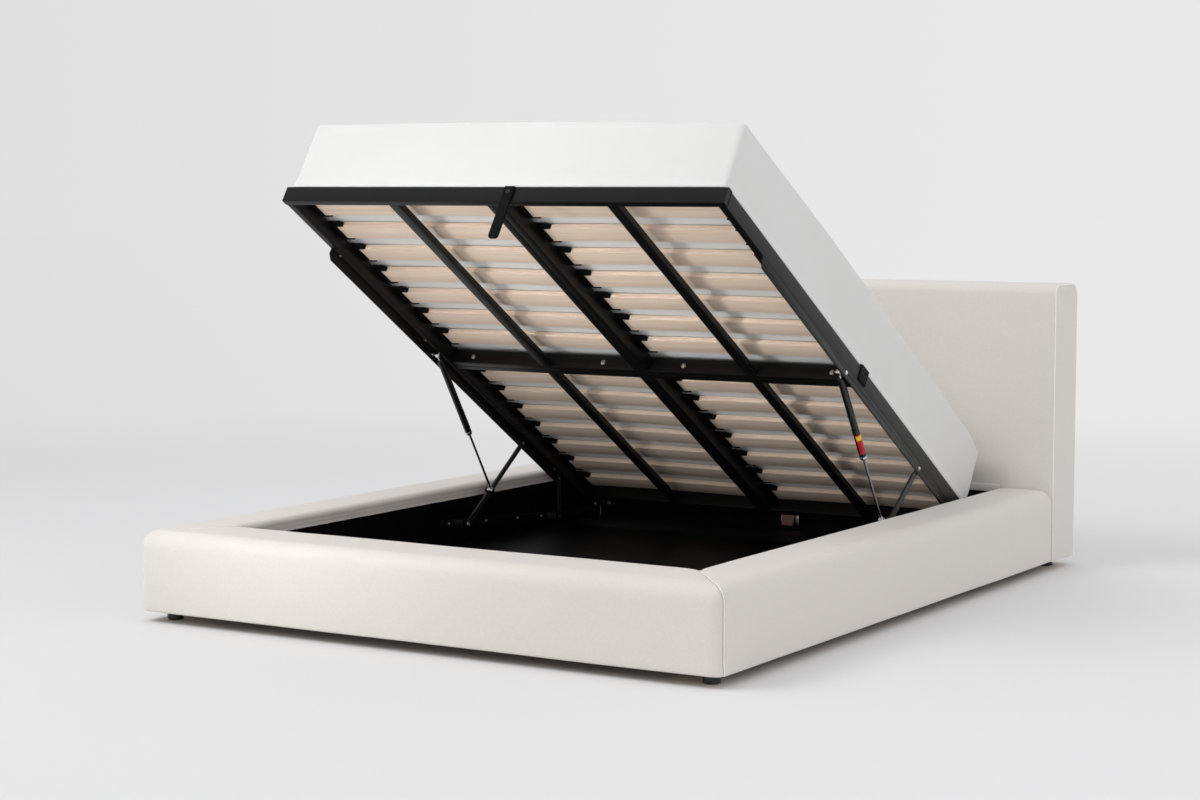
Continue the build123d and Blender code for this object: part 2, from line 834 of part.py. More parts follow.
def upper_pivots():
    """Return the four bolts that join the links to the top rails."""
    outer = side_bar_outer + pivot_head_height
    inner = link_inner - running_gap
    bolts = []
    for along in (front_pivot_along, rear_pivot_along):
        head = rod_across((side_bar_outer, outer), along, -pivot_below, pivot_head_radius)
        shank = rod_across((inner, side_bar_outer), along, -pivot_below, pivot_radius)
        nut_span = (inner - pivot_head_height, inner)
        nut = hexagon_across(nut_span, along, -pivot_below, pivot_nut_radius)
        bolts += both_sides(RAISED * (head + shank + nut))
    return group(bolts)


def upper_ball_studs():
    """Return the springs' upper ball studs, riveted through the top rails."""
    shank = rod_across((flange_inner, side_bar_outer), 0, 0, ball_stud_radius)
    rivet = rod_across((side_bar_outer, side_bar_outer + pivot_head_height), 0, 0, ball_stud_flange)
    stud = Pos(0, spring_top_along, -spring_top_below) * (ball_stud(flange_inner) + shank + rivet)
    return group(both_sides(RAISED * stud))


# ---------------------------------------------------------------- platform frame
def tube(x, y, z):
    """Return a hollow steel tube with closed ends."""
    wall = tube_wall
    inside = block((x[0] + wall, x[1] - wall), (y[0] + wall, y[1] - wall), (z[0] + wall, z[1] - wall))
    return block(x, y, z) - inside


TUBE_DEPTH = (-tube_high, 0)


def foot_bar():
    """Return the cross tube at the platform's foot."""
    return RAISED * tube((-platform_width / 2, platform_width / 2), (0, tube_wide), TUBE_DEPTH)


def head_bar():
    """Return the cross tube at the platform's head."""
    span = (platform_length - tube_wide, platform_length)
    return RAISED * tube((-side_bar_outer, side_bar_outer), span, TUBE_DEPTH)


def side_bars(start, end):
    """Return the left and right side tubes of one half of the platform."""
    right = tube((side_bar_inner, side_bar_outer), (start, end), TUBE_DEPTH)
    return group(both_sides(RAISED * right))


def mid_bar(start):
    """Return one of the two cross tubes that are bolted together in the platform's middle."""
    bar = tube((-side_bar_inner, side_bar_inner), (start, start + tube_wide), TUBE_DEPTH)
    for x in mid_bolts_across:
        bar -= rod_along(x, (start, start + tube_wide), -mid_bolt_below, bolt_radius + bolt_clearance)
    return RAISED * bar


def mid_bolts():
    """Return the bolts and nuts that hold the two halves of the platform together."""
    start, end = half_joint - tube_wide, half_joint + tube_wide
    bolts = []
    for x in mid_bolts_across:
        head = hexagon_along(x, (start - bolt_head_height, start), -mid_bolt_below, bolt_head_radius)
        shank = rod_along(x, (start, end), -mid_bolt_below, bolt_radius)
        nut = hexagon_along(x, (end, end + nut_height), -mid_bolt_below, bolt_head_radius)
        bolts.append(RAISED * (head + shank + nut))
    return group(bolts)


def half_spans():
    """Return the clear length of each half of the platform, between its cross tubes."""
    return (
        (tube_wide, half_joint - tube_wide),
        (half_joint + tube_wide, platform_length - tube_wide),
    )


def centre_beams():
    """Return the twin tubes down the middle of both halves."""
    beams = [tube((0, centre_tube_wide), span, TUBE_DEPTH) for span in half_spans()]
    return group([beam for right in beams for beam in both_sides(RAISED * right)])


def quarter_bars():
    """Return the shallow tubes between the centre and the sides of both halves."""
    z_span = (-tube_high, quarter_bar_height - tube_high)
    half = quarter_bar_width / 2
    return group([
        RAISED * tube((x - half, x + half), span, z_span)
        for x in quarter_bars_across
        for span in half_spans()
    ])


def joint_sleeve():
    """Return the ribbed plastic sleeve over the right side tubes where the halves meet."""
    start = half_joint - sleeve_foot_offset
    end = start + sleeve_length
    outer = side_bar_outer + sleeve_thickness
    inner = side_bar_inner
    cap = block((inner, outer), (start, end), (0, sleeve_lap))
    sleeve = cap + block((side_bar_outer, outer), (start, end), (-sleeve_skirt, 0))
    pitch = sleeve_length / sleeve_rib_count
    for i in range(sleeve_rib_count):
        low = start + pitch * (i + 0.25)
        sleeve += block((outer, outer + sleeve_rib), (low, low + pitch / 2), (-sleeve_skirt, sleeve_lap))
    return RAISED * sleeve


# ---------------------------------------------------------------- slats
def slat_places():
    """Return the foot-side edge of each slat along the platform, for its front and rear half."""
    pitch_front = (last_slat_front - first_slat_front) / (slat_count - 1)
    pitch_rear = (last_slat_rear - first_slat_rear) / (slat_count - 1)
    front = [first_slat_front + pitch_front * i for i in range(slat_count)]
    rear = [first_slat_rear + pitch_rear * i for i in range(slat_count)]
    return front, rear


def slat(start):
    """Return one right-hand slat, bowed upwards, with its foot-side edge at this place."""
    inner = centre_tube_wide + holder_wall + slat_end_gap
    outer = side_bar_inner - holder_wall - slat_end_gap
    middle = (inner + outer) / 2
    low, high = -slat_underside, slat_thickness - slat_underside
    with BuildSketch(Plane.XZ) as section:
        with BuildLine():
            ThreePointArc((inner, low), (middle, low + slat_bow), (outer, low))
            Line((outer, low), (outer, high))
            ThreePointArc((outer, high), (middle, high + slat_bow), (inner, high))
            Line((inner, high), (inner, low))
        make_face()
    return Pos(0, start, 0) * extrude(section.sketch, slat_width, dir=(0, 1, 0))


def slats(starts):
    """Return both columns of slats of one half of the platform."""
    return group([piece for start in starts for piece in both_sides(RAISED * slat(start))])


def slat_holder():
    """Return a slat holder on a rail's edge at the origin, with the slat along -X, centred on Y."""
    high = slat_thickness - slat_underside + slot_clearance
    low = -slat_underside - slot_clearance
    half = slat_width / 2 + slot_clearance
    side = half + holder_wall
    top, bottom = high + holder_roof, low - holder_floor
    shell = block((-holder_reach, 0), (-side, side), (bottom, top))
    shell += block((0, holder_lip), (-side, side), (0, top))
    ear = Plane.XZ * make_face(Polyline(
        (-holder_reach, bottom),
        (-holder_reach, top),
        (-holder_reach - holder_ear, high - holder_roof),
        (-holder_reach - holder_ear, bottom),
        close=True,
    ))
    shell += Pos(0, half, 0) * extrude(ear, holder_wall, dir=(0, 1, 0))
    shell += Pos(0, -side, 0) * extrude(ear, holder_wall, dir=(0, 1, 0))
    return shell - block((-holder_reach, -holder_wall), (-half, half), (low, high))


def slat_holders():
    """Return the holders at both ends of every slat."""
    on_rail = Pos(side_bar_inner, 0, 0) * slat_holder()
    on_beam = Pos(centre_tube_wide, 0, 0) * mirror(slat_holder(), about=Plane.YZ)
    holders = []
    for start in slat_places()[0] + slat_places()[1]:
        place = RAISED * Pos(0, start + slat_width / 2, 0)
        holders += both_sides(place * on_rail) + both_sides(place * on_beam)
    return group(holders)


# ---------------------------------------------------------------- mattress and strap
def mattress():
    """Return the mattress as a rounded shell that lies on the slat holders."""
    bottom = slat_thickness - slat_underside + slot_clearance + holder_roof + soft_gap
    x_half = mattress_width / 2
    y_span = (mattress_foot_inset, mattress_foot_inset + mattress_length)
    skin = mattress_cover
    outside = block((-x_half, x_half), y_span, (bottom, bottom + mattress_height))
    outside = fillet(outside.edges().filter_by(Axis.Z), mattress_corner_radius)
    outside = fillet(outside.edges().group_by(Axis.Z)[-1], mattress_radius)
    outside = chamfer(outside.edges().group_by(Axis.Z)[0], mattress_bevel)
    inside = block(
        (skin - x_half, x_half - skin),
        (y_span[0] + skin, y_span[1] - skin),
        (bottom + skin, bottom + mattress_height - skin),
    )
    inside = chamfer(inside.edges().filter_by(Axis.Z), mattress_corner_radius - skin)
    return RAISED * (outside - inside)


def pull_strap():
    """Return the webbing loop that hangs in front of the foot tube."""
    back = -running_gap
    front = back - 2 * strap_layer - strap_fold_gap
    middle, length = (front + back) / 2, strap_length
    side = Plane.YZ * Pos(middle, -length / 2) * RectangleRounded(back - front, length, strap_layer)
    slot_middle = strap_layer + strap_slot_length / 2 - length
    slot = Plane.YZ * Pos(middle, slot_middle) * Rectangle(strap_fold_gap, strap_slot_length)
    low_x = strap_across - strap_width / 2
    loop = Pos(low_x, 0, 0) * extrude(side - slot, strap_width, dir=(1, 0, 0))
    hole = rod_along(
        strap_across, (front, back), -strap_screw_below, strap_screw_radius + strap_screw_clearance
    )
    return RAISED * (loop - hole)


def strap_screw():
    """Return the screw that the strap hangs from."""
    strap_front = -running_gap - 2 * strap_layer - strap_fold_gap
    seat = strap_front - running_gap
    shank = rod_along(strap_across, (seat, 0), -strap_screw_below, strap_screw_radius)
    head = rod_along(
        strap_across, (seat - strap_screw_head_height, seat), -strap_screw_below, strap_screw_head
    )
    return RAISED * (shank + head)


# ---------------------------------------------------------------- every piece, by its name
front_half, rear_half = half_spans()
front_slats, rear_slats = slat_places()
floor_panel_foot, floor_panel_head = floor_panels()

pieces = {
    "foot_rail_cover": foot_rail_cover(),
    "foot_rail_box": foot_rail_box(),
    "headboard_cover": headboard_cover(),
    "headboard_frame": headboard_frame(),
    "headboard_panels": headboard_panels(),
    "storage_lining": storage_lining(),
    "floor_ledges": floor_ledges(),
    "floor_battens": floor_battens(),
    "floor_panel_foot": floor_panel_foot,
    "floor_panel_head": floor_panel_head,
    "feet": feet(),
    "centre_legs": centre_legs(),
    "corner_angles": corner_angles(),
    "corner_bolts": corner_bolts(),
    "rest_block": rest_block(),
    "rest_block_clips": rest_block_clips(),
    "base_bracket_screws": base_bracket_screws(),
    "lower_pivots": lower_pivots(),
    "top_rail_bolts": top_rail_bolts(),
    "upper_pivots": upper_pivots(),
    "upper_ball_studs": upper_ball_studs(),
    "foot_bar": foot_bar(),
    "head_bar": head_bar(),
    "side_bars_front": side_bars(tube_wide, half_joint),
    "side_bars_rear": side_bars(half_joint, platform_length - tube_wide),
    "mid_bar_front": mid_bar(half_joint - tube_wide),
    "mid_bar_rear": mid_bar(half_joint),
    "centre_beams": centre_beams(),
    "quarter_bars": quarter_bars(),
    "mid_bolts": mid_bolts(),
    "joint_sleeves": group(both_sides(joint_sleeve())),
    "slats_front": slats(front_slats),
    "slats_rear": slats(rear_slats),
    "slat_holders": slat_holders(),
    "mattress": mattress(),
    "strap_screw": strap_screw(),
    "pull_strap": pull_strap(),
}

right_hand_pieces = {
    "side_rail_cover": side_rail_cover(),
    "side_rail_box": side_rail_box(),
    "base_bracket": base_bracket(),
    "front_link": front_link(),
    "rear_link": rear_link(),
    "gas_cylinder": gas_cylinder(),
    "cylinder_collar": cylinder_collar(),
    "cylinder_label": cylinder_label(),
    "gas_rod": gas_rod(),
    "lower_ball_stud": lower_ball_stud(),
    "top_rail": top_rail(),
}
for name, right in right_hand_pieces.items():
    pieces[name + "_right"] = right
    pieces[name + "_left"] = mirrored(right)

os.makedirs("parts", exist_ok=True)
for name, piece in pieces.items():
    export_step(piece, "parts/" + name + ".step")
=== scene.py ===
"""Looks of an ottoman storage bed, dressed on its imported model.

Metres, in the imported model's own frame: +X is the right side seen from the foot, +Y runs to the
headboard and +Z is up. What rides on the lifting platform is modelled flat, in the platform's own
frame (origin at the middle of its top foot edge), and then set at its raised place.
"""

import json
import logging
import math
from collections.abc import Callable
from dataclasses import dataclass
from enum import Enum
from itertools import product

import bpy
from mathutils import Matrix, Vector, noise

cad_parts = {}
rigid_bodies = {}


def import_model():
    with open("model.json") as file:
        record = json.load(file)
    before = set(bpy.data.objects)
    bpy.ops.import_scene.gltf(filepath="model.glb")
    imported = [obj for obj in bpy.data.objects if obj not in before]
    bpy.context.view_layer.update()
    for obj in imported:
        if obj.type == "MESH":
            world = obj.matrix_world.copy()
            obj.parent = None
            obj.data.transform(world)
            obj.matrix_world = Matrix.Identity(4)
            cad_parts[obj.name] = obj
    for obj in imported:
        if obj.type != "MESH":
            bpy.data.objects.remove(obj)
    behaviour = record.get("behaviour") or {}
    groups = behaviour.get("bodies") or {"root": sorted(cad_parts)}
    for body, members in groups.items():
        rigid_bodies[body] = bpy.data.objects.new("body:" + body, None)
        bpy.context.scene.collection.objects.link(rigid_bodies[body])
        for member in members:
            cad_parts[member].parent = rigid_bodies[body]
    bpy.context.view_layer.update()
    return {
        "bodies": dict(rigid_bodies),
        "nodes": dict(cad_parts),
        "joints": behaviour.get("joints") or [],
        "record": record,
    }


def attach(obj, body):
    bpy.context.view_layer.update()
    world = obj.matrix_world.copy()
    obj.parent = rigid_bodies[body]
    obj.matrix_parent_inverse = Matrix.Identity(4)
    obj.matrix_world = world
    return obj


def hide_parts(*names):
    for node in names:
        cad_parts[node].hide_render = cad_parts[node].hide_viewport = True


LOG = logging.getLogger("bed")
Frame = dict[str, object]
Point = tuple[float, float, float]
Pair = tuple[float, float]
Step = tuple[int, int, int]
Piece = bpy.types.Object
Socket = bpy.types.NodeSocket
Test = Callable[[Vector, Vector], bool]

SURFACE = "Principled BSDF"
GRAIN_MAP = "grain"
SPIN_STEPS = 32
UP = (0, 0, 1)
RIGHTWARD = (1, 0, 0)
SMOOTH_ANGLE = 35
SOFT_ANGLE = 50


# ---------------------------------------------------------------- places
class Domain(Enum):
    """Which part of a mesh an operation works on."""

    EDGE = "EDGE"
    FACE = "FACE"


class Side(Enum):
    """The two sides of the bed, seen from its foot."""

    RIGHT = 1
    LEFT = -1

    @property
    def word(self) -> str:
        """The side's name as the nodes write it."""
        return self.name.lower()


@dataclass(frozen=True)
class LiftPlaces:
    """Where the platform, links and gas springs are when the bed is open."""

    head_face: float = 1.0575
    opening_front: float = -1.0315
    length: float = 2.030
    open_angle: float = 32.5
    open_head_gap: float = 0.1593
    open_head_height: float = 0.1935
    closed_gap: float = 0.016
    closed_top: float = 0.2475
    pivot_below: float = 0.0645
    front_along: float = 1.562
    rear_along: float = 1.840
    front_length: float = 0.4218
    rear_length: float = 0.1373
    spring_top_along: float = 0.926
    spring_top_below: float = 0.066
    spring_foot_along: float = 0.155
    spring_foot_above: float = 0.017

    def raised(self, along: float, below: float) -> Vector:
        """Give the raised place (y, z) of a point of the platform.

        Args:
            along: Distance from the platform's foot edge.
            below: Distance under its top plane.

        Returns:
            The point's y and z.
        """
        turn = math.radians(self.open_angle)
        back = along - self.length
        y = self.head_face - self.open_head_gap + back * math.cos(turn) - below * math.sin(turn)
        return Vector((y, self.open_head_height - back * math.sin(turn) - below * math.cos(turn)))

    def link_foot(self, along: float, length: float) -> Vector:
        """Give the pivot on the base of a link, from where it meets the platform and its length."""
        up = self.raised(along, self.pivot_below)
        down = Vector((self.opening_front + self.closed_gap + along, self.closed_top - self.pivot_below))
        chord = (down - up).length
        stand_off = math.sqrt(length**2 - (chord / 2) ** 2)
        across = (down - up) / chord
        return (up + down) / 2 + stand_off * Vector((across.y, -across.x))

    @staticmethod
    def from_to(start: Vector, end: Vector) -> Matrix:
        """Give the frame with its origin at start and its Y axis towards end, both (y, z)."""
        turn = math.atan2(end.y - start.y, end.x - start.x)
        return Matrix.Translation((0, start.x, start.y)) @ Matrix.Rotation(turn, 4, "X")

    @property
    def platform(self) -> Matrix:
        """The raised platform's frame."""
        place = self.raised(0, 0)
        turn = Matrix.Rotation(-math.radians(self.open_angle), 4, "X")
        return Matrix.Translation((0, place.x, place.y)) @ turn

    @property
    def front_link(self) -> Matrix:
        """The front link's frame, from its lower pivot to its upper one."""
        foot = self.link_foot(self.front_along, self.front_length)
        return self.from_to(foot, self.raised(self.front_along, self.pivot_below))

    @property
    def bracket(self) -> Matrix:
        """The base bracket's frame, from the front link's pivot to the rear link's."""
        front = self.link_foot(self.front_along, self.front_length)
        return self.from_to(front, self.link_foot(self.rear_along, self.rear_length))

    @property
    def pivot_spread(self) -> float:
        """Distance between the two pivots of the bracket."""
        front = self.link_foot(self.front_along, self.front_length)
        return (self.link_foot(self.rear_along, self.rear_length) - front).length

    @property
    def spring_ends(self) -> tuple[Vector, Vector]:
        """The gas spring's upper and lower ball, as (y, z)."""
        foot = self.front_link @ Vector((0, self.spring_foot_along, self.spring_foot_above))
        return self.raised(self.spring_top_along, self.spring_top_below), Vector((foot.y, foot.z))

    @property
    def spring(self) -> Matrix:
        """The gas spring's frame, from its upper ball to its lower one."""
        return self.from_to(*self.spring_ends)


# ---------------------------------------------------------------- the bench: modelling operations
class Bench:
    """Modelling operations, each on one object."""

    @staticmethod
    def clear() -> None:
        """Leave edit mode and deselect everything."""
        if bpy.context.mode != "OBJECT":
            bpy.ops.object.mode_set(mode="OBJECT")
        bpy.ops.object.select_all(action="DESELECT")

    @staticmethod
    def take(piece: Piece) -> None:
        """Make a piece the only selected object and the active one."""
        Bench.clear()
        piece.select_set(True)
        bpy.context.view_layer.objects.active = piece

    @staticmethod
    def placed(name: str, data: bpy.types.ID) -> Piece:
        """Add an object with this data to the scene."""
        piece = bpy.data.objects.new(name, data)
        bpy.context.scene.collection.objects.link(piece)
        return piece

    @staticmethod
    def settle(name: str) -> Piece:
        """Name the primitive just added and move its place into its mesh."""
        piece = bpy.context.object
        piece.name = name
        bpy.ops.object.transform_apply(location=True, rotation=True, scale=True)
        return piece

    @staticmethod
    def block(name: str, low: Point, high: Point) -> Piece:
        """Add a box from its lowest and highest corner."""
        Bench.clear()
        middle = [(a + b) / 2 for a, b in zip(low, high)]
        size = [b - a for a, b in zip(low, high)]
        bpy.ops.mesh.primitive_cube_add(size=1, location=middle, scale=size)
        return Bench.settle(name)

    @staticmethod
    def bar(name: str, start: Point, end: Point, radius: float, sides: int = 32) -> Piece:
        """Add a round (or, with few sides, a polygonal) bar between two points."""
        Bench.clear()
        axis = Vector(end) - Vector(start)
        bpy.ops.mesh.primitive_cylinder_add(
            vertices=sides,
            radius=radius,
            depth=axis.length,
            location=(Vector(start) + Vector(end)) / 2,
            rotation=axis.to_track_quat("Z", "Y").to_euler(),
        )
        return Bench.settle(name)

    @staticmethod
    def spun(name: str, profile: list[Pair], start: Point, toward: Point) -> Piece:
        """Spin a profile round an axis, as on a lathe.

        Args:
            name: The new piece's name.
            profile: Points (radius, height) from one end of the axis to the other.
            start: Where the axis starts, at height 0.
            toward: The axis's direction.

        Returns:
            The closed, turned piece.
        """
        mesh = bpy.data.meshes.new(name)
        rows = [(i, i + 1) for i in range(len(profile) - 1)]
        mesh.from_pydata([(r, 0, h) for r, h in profile], rows, [])
        piece = Bench.placed(name, mesh)
        Bench.take(piece)
        bpy.ops.object.mode_set(mode="EDIT")
        bpy.ops.mesh.select_all(action="SELECT")
        bpy.ops.mesh.spin(steps=SPIN_STEPS, angle=math.tau, center=(0, 0, 0), axis=UP)
        Bench.mend()
        turn = Vector(toward).to_track_quat("Z", "Y").to_matrix().to_4x4()
        return Bench.moved(piece, Matrix.Translation(start) @ turn)

    @staticmethod
    def turned(name: str, profile: list[Pair], start: Point, toward: Point) -> Piece:
        """Spin a profile round an axis and shade its round faces smooth."""
        return Bench.smooth(Bench.spun(name, profile, start, toward))

    @staticmethod
    def pick(piece: Piece, domain: Domain, test: Test) -> None:
        """Select edges or faces and enter edit mode.

        Args:
            piece: The piece to work on.
            domain: Edges or faces.
            test: Says of an element's middle and its direction or normal whether it is picked.
        """
        Bench.take(piece)
        mesh = piece.data
        for element in [*mesh.vertices, *mesh.edges, *mesh.polygons]:
            element.select = False
        if domain is Domain.FACE:
            for face in mesh.polygons:
                face.select = test(face.center.copy(), face.normal.copy())
        else:
            for edge in mesh.edges:
                start, end = (mesh.vertices[i].co for i in edge.vertices)
                edge.select = test((start + end) / 2, (end - start).normalized())
        bpy.context.tool_settings.mesh_select_mode = (False, domain is Domain.EDGE, domain is Domain.FACE)
        bpy.ops.object.mode_set(mode="EDIT")

    @staticmethod
    def bevel(
        piece: Piece,
        width: float,
        segments: int = 2,
        test: Test = lambda middle, direction: True,
    ) -> Piece:
        """Round the edges that pass a test."""
        Bench.pick(piece, Domain.EDGE, test)
        bpy.ops.mesh.bevel(offset=width, segments=segments, affect="EDGES", clamp_overlap=True)
        bpy.ops.object.mode_set(mode="OBJECT")
        return piece

    @staticmethod
    def sink(piece: Piece, rim: float, depth: float, test: Test) -> Piece:
        """Inset the faces that pass a test by a rim and push them in along their normal."""
        Bench.pick(piece, Domain.FACE, test)
        bpy.ops.mesh.inset(thickness=rim, depth=0)
        bpy.ops.mesh.inset(thickness=0, depth=-depth)
        bpy.ops.object.mode_set(mode="OBJECT")
        return piece

    @staticmethod
    def modify(piece: Piece, kind: str, **settings: object) -> Piece:
        """Add a modifier with its settings and apply it."""
        Bench.take(piece)
        modifier = piece.modifiers.new(kind.title(), kind)
        for key, value in settings.items():
            setattr(modifier, key, value)
        bpy.ops.object.modifier_apply(modifier=modifier.name)
        return piece

    @staticmethod
    def smooth(piece: Piece, angle: float = SMOOTH_ANGLE) -> Piece:
        """Shade a piece smooth across all edges flatter than an angle in degrees."""
        Bench.take(piece)
        bpy.ops.object.shade_smooth_by_angle(angle=math.radians(angle))
        return piece

    @staticmethod
    def moved(piece: Piece, place: Matrix) -> Piece:
        """Put a piece's mesh at its place, and leave its object at the origin."""
        piece.data.transform(place)
        return piece

    @staticmethod
    def copy(piece: Piece, name: str, place: Matrix | None = None) -> Piece:
        """Copy a piece, with a mesh of its own, and move the copy."""
        twin = piece.copy()
        twin.data = piece.data.copy()
        twin.name = name
        bpy.context.scene.collection.objects.link(twin)
        return Bench.moved(twin, place) if place is not None else twin

    @staticmethod
    def crossed(piece: Piece) -> Piece:
        """Turn a piece into its mirror image on the other side of the bed."""
        piece.data.transform(Matrix.Scale(-1, 4, (1, 0, 0)))
        piece.data.flip_normals()
        return piece

    @staticmethod
    def mirror(piece: Piece, name: str) -> Piece:
        """Copy a piece to the other side of the bed."""
        return Bench.crossed(Bench.copy(piece, name))

    @staticmethod
    def paired(name: str, right: Piece) -> Piece:
        """Join a right-hand piece and its mirrored twin."""
        return Bench.join(name, [right, Bench.mirror(right, name + "_left")])

    @staticmethod
    def join(name: str, pieces: list[Piece]) -> Piece:
        """Join several pieces into one object."""
        Bench.clear()
        for piece in pieces:
            piece.select_set(True)
        bpy.context.view_layer.objects.active = pieces[0]
        if len(pieces) > 1:
            bpy.ops.object.join()
        pieces[0].name = name
        return pieces[0]

    @staticmethod
    def skin(name: str, rings: list[list[Vector]], closed: bool, capped: bool) -> Piece:
        """Stretch a skin over rings of points.

        Args:
            name: The new piece's name.
            rings: Rings with the same number of points.
            closed: True where each ring's last point joins its first.
            capped: True where the first and last ring are filled.

        Returns:
            The skin, with its faces outwards.
        """
        count = len(rings[0])
        total = len(rings) * count
        faces = []
        for start in range(0, total - count, count):
            for j in range(count if closed else count - 1):
                near, far = start + j, start + (j + 1) % count
                faces.append((near, far, far + count, near + count))
        if capped:
            faces += [tuple(range(count))[::-1], tuple(range(total - count, total))]
        mesh = bpy.data.meshes.new(name)
        mesh.from_pydata([point for ring in rings for point in ring], [], faces)
        return Bench.outwards(Bench.placed(name, mesh))

    @staticmethod
    def outwards(piece: Piece) -> Piece:
        """Merge a piece's doubled points and turn all its faces outwards."""
        Bench.take(piece)
        bpy.ops.object.mode_set(mode="EDIT")
        Bench.mend()
        return piece

    @staticmethod
    def mend() -> None:
        """Merge doubled points and turn all faces outwards in edit mode, and leave it."""
        bpy.ops.mesh.select_all(action="SELECT")
        bpy.ops.mesh.remove_doubles(threshold=1e-6)
        bpy.ops.mesh.normals_make_consistent(inside=False)
        bpy.ops.object.mode_set(mode="OBJECT")

    @staticmethod
    def piping(name: str, points: list[Vector], radius: float, sides: int = 3) -> Piece:
        """Lay a round piping along a line of points, as a closed mesh."""
        Bench.clear()
        curve = bpy.data.curves.new(name, "CURVE")
        curve.dimensions = "3D"
        curve.bevel_depth = radius
        curve.bevel_resolution = sides
        curve.use_fill_caps = True
        spline = curve.splines.new("POLY")
        spline.points.add(len(points) - 1)
        for target, point in zip(spline.points, points):
            target.co = (*point, 1)
        Bench.take(Bench.placed(name, curve))
        bpy.ops.object.convert(target="MESH")
        piece = bpy.context.object
        piece.name = name
        return Bench.smooth(piece, 60)

    @staticmethod
    def eased(frame: Frame, node: str, name: str, width: float, segments: int = 2) -> Piece:
        """Copy a node's mesh, merge its triangles and ease its sharp edges.

        Args:
            frame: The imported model.
            node: The node to copy.
            name: The new piece's name.
            width: Width of the eased edges.
            segments: Steps across an eased edge.

        Returns:
            The finished copy.
        """
        piece = Bench.placed(name, frame["nodes"][node].data.copy())
        Bench.take(piece)
        bpy.ops.object.mode_set(mode="EDIT")
        bpy.ops.mesh.select_all(action="SELECT")
        bpy.ops.mesh.remove_doubles(threshold=1e-5)
        bpy.ops.mesh.dissolve_limited(angle_limit=math.radians(1.5))
        bpy.ops.object.mode_set(mode="OBJECT")
        Bench.modify(
            piece,
            "BEVEL",
            width=width,
            segments=segments,
            limit_method="ANGLE",
            angle_limit=math.radians(40),
            use_clamp_overlap=False,
        )
        return Bench.smooth(piece, 40)


# ---------------------------------------------------------------- finishes
def linear(hex_colour: str) -> tuple[float, float, float, float]:
    """Turn an sRGB hex colour into a linear one."""
    channels = [int(hex_colour[i : i + 2], 16) / 255 for i in (1, 3, 5)]
    return (*[c / 12.92 if c <= 0.04045 else ((c + 0.055) / 1.055) ** 2.4 for c in channels], 1.0)


@dataclass(frozen=True)
class Brush:
    """Adds shader nodes to one tree and gives their outputs."""

    tree: bpy.types.NodeTree

    def fill(self, node: bpy.types.Node | str, inputs: dict) -> None:
        """Link or set a node's inputs, by name or number; a string names one of the tree's first nodes."""
        target = self.tree.nodes[node] if isinstance(node, str) else node
        for key, value in inputs.items():
            if isinstance(value, Socket):
                self.tree.links.new(value, target.inputs[key])
            else:
                target.inputs[key].default_value = value

    def node(
        self, kind: str, inputs: dict | None = None, output: str | int = 0, **settings: object
    ) -> Socket:
        """Add a shader node.

        Args:
            kind: The node's type, without "ShaderNode".
            inputs: A value or an output socket for each input, by name or number.
            output: The output to give, by name or number.
            **settings: The node's own settings.

        Returns:
            The output.
        """
        node = self.tree.nodes.new("ShaderNode" + kind)
        for key, value in settings.items():
            setattr(node, key, value)
        self.fill(node, inputs or {})
        return node.outputs[output]

    def noise(self, place: Socket, scale: float, detail: float, distortion: float = 0.0) -> Socket:
        """Add a noise."""
        inputs = {"Vector": place, "Scale": scale, "Detail": detail, "Distortion": distortion}
        return self.node("TexNoise", inputs, "Fac")

    def bands(self, place: Socket, spacing: float, axis: str, distortion: float = 0.0) -> Socket:
        """Add bands this far apart across an axis, in metres."""
        inputs = {"Vector": place, "Scale": math.tau / 20 / spacing, "Distortion": distortion}
        return self.node("TexWave", inputs, "Fac", bands_direction=axis)

    def combine(self, operation: str, first: Socket, *others: Socket | float) -> Socket:
        """Add, multiply or divide values, from the first to the last."""
        for other in others:
            first = self.node("Math", {0: first, 1: other}, operation=operation)
        return first

    def ramp(self, value: Socket, low: float, high: float) -> Socket:
        """Stretch the values between low and high over 0 to 1."""
        return self.node("MapRange", {"Value": value, "From Min": low, "From Max": high})

    def mix(self, factor: Socket, colour: str, tone: str) -> Socket:
        """Blend two hex colours by a factor."""
        return self.node("Mix", {0: factor, 6: linear(colour), 7: linear(tone)}, 2, data_type="RGBA")

    def bump(self, height: Socket, strength: float, distance: float) -> None:
        """Raise the surface by a height."""
        inputs = {"Height": height, "Strength": strength, "Distance": distance}
        self.fill(SURFACE, {"Normal": self.node("Bump", inputs, "Normal")})


@dataclass(frozen=True)
class Finish:
    """What every finish has: a name, a colour, a second tone, a roughness and how it mirrors."""

    name: str
    colour: str
    tone: str
    roughness: float
    specular: float = 0.5

    def material(self) -> bpy.types.Material:
        """Give the finish's material, made the first time it is asked for."""
        found = bpy.data.materials.get(self.name)
        if found is not None:
            return found
        made = bpy.data.materials.new(self.name)
        made.use_nodes = True
        made.diffuse_color = linear(self.colour)
        brush = Brush(made.node_tree)
        brush.fill(SURFACE, {"Roughness": self.roughness, "Specular IOR Level": self.specular})
        brush.fill(SURFACE, {"Base Color": linear(self.colour)})
        self.paint(brush, brush.node("TexCoord", output="Object"))
        return made

    def paint(self, brush: Brush, place: Socket) -> None:
        """Add the finish's own pattern to its shader."""
        raise NotImplementedError

    def tint(self, brush: Brush, factor: Socket) -> None:
        """Blend the finish's two tones by a factor."""
        brush.fill(SURFACE, {"Base Color": brush.mix(factor, self.colour, self.tone)})

    def drift(self, brush: Brush, factor: Socket, low: float, high: float) -> None:
        """Let the roughness drift between two values by a factor."""
        rough = brush.node("MapRange", {"Value": factor, "To Min": low, "To Max": high})
        brush.fill(SURFACE, {"Roughness": rough})


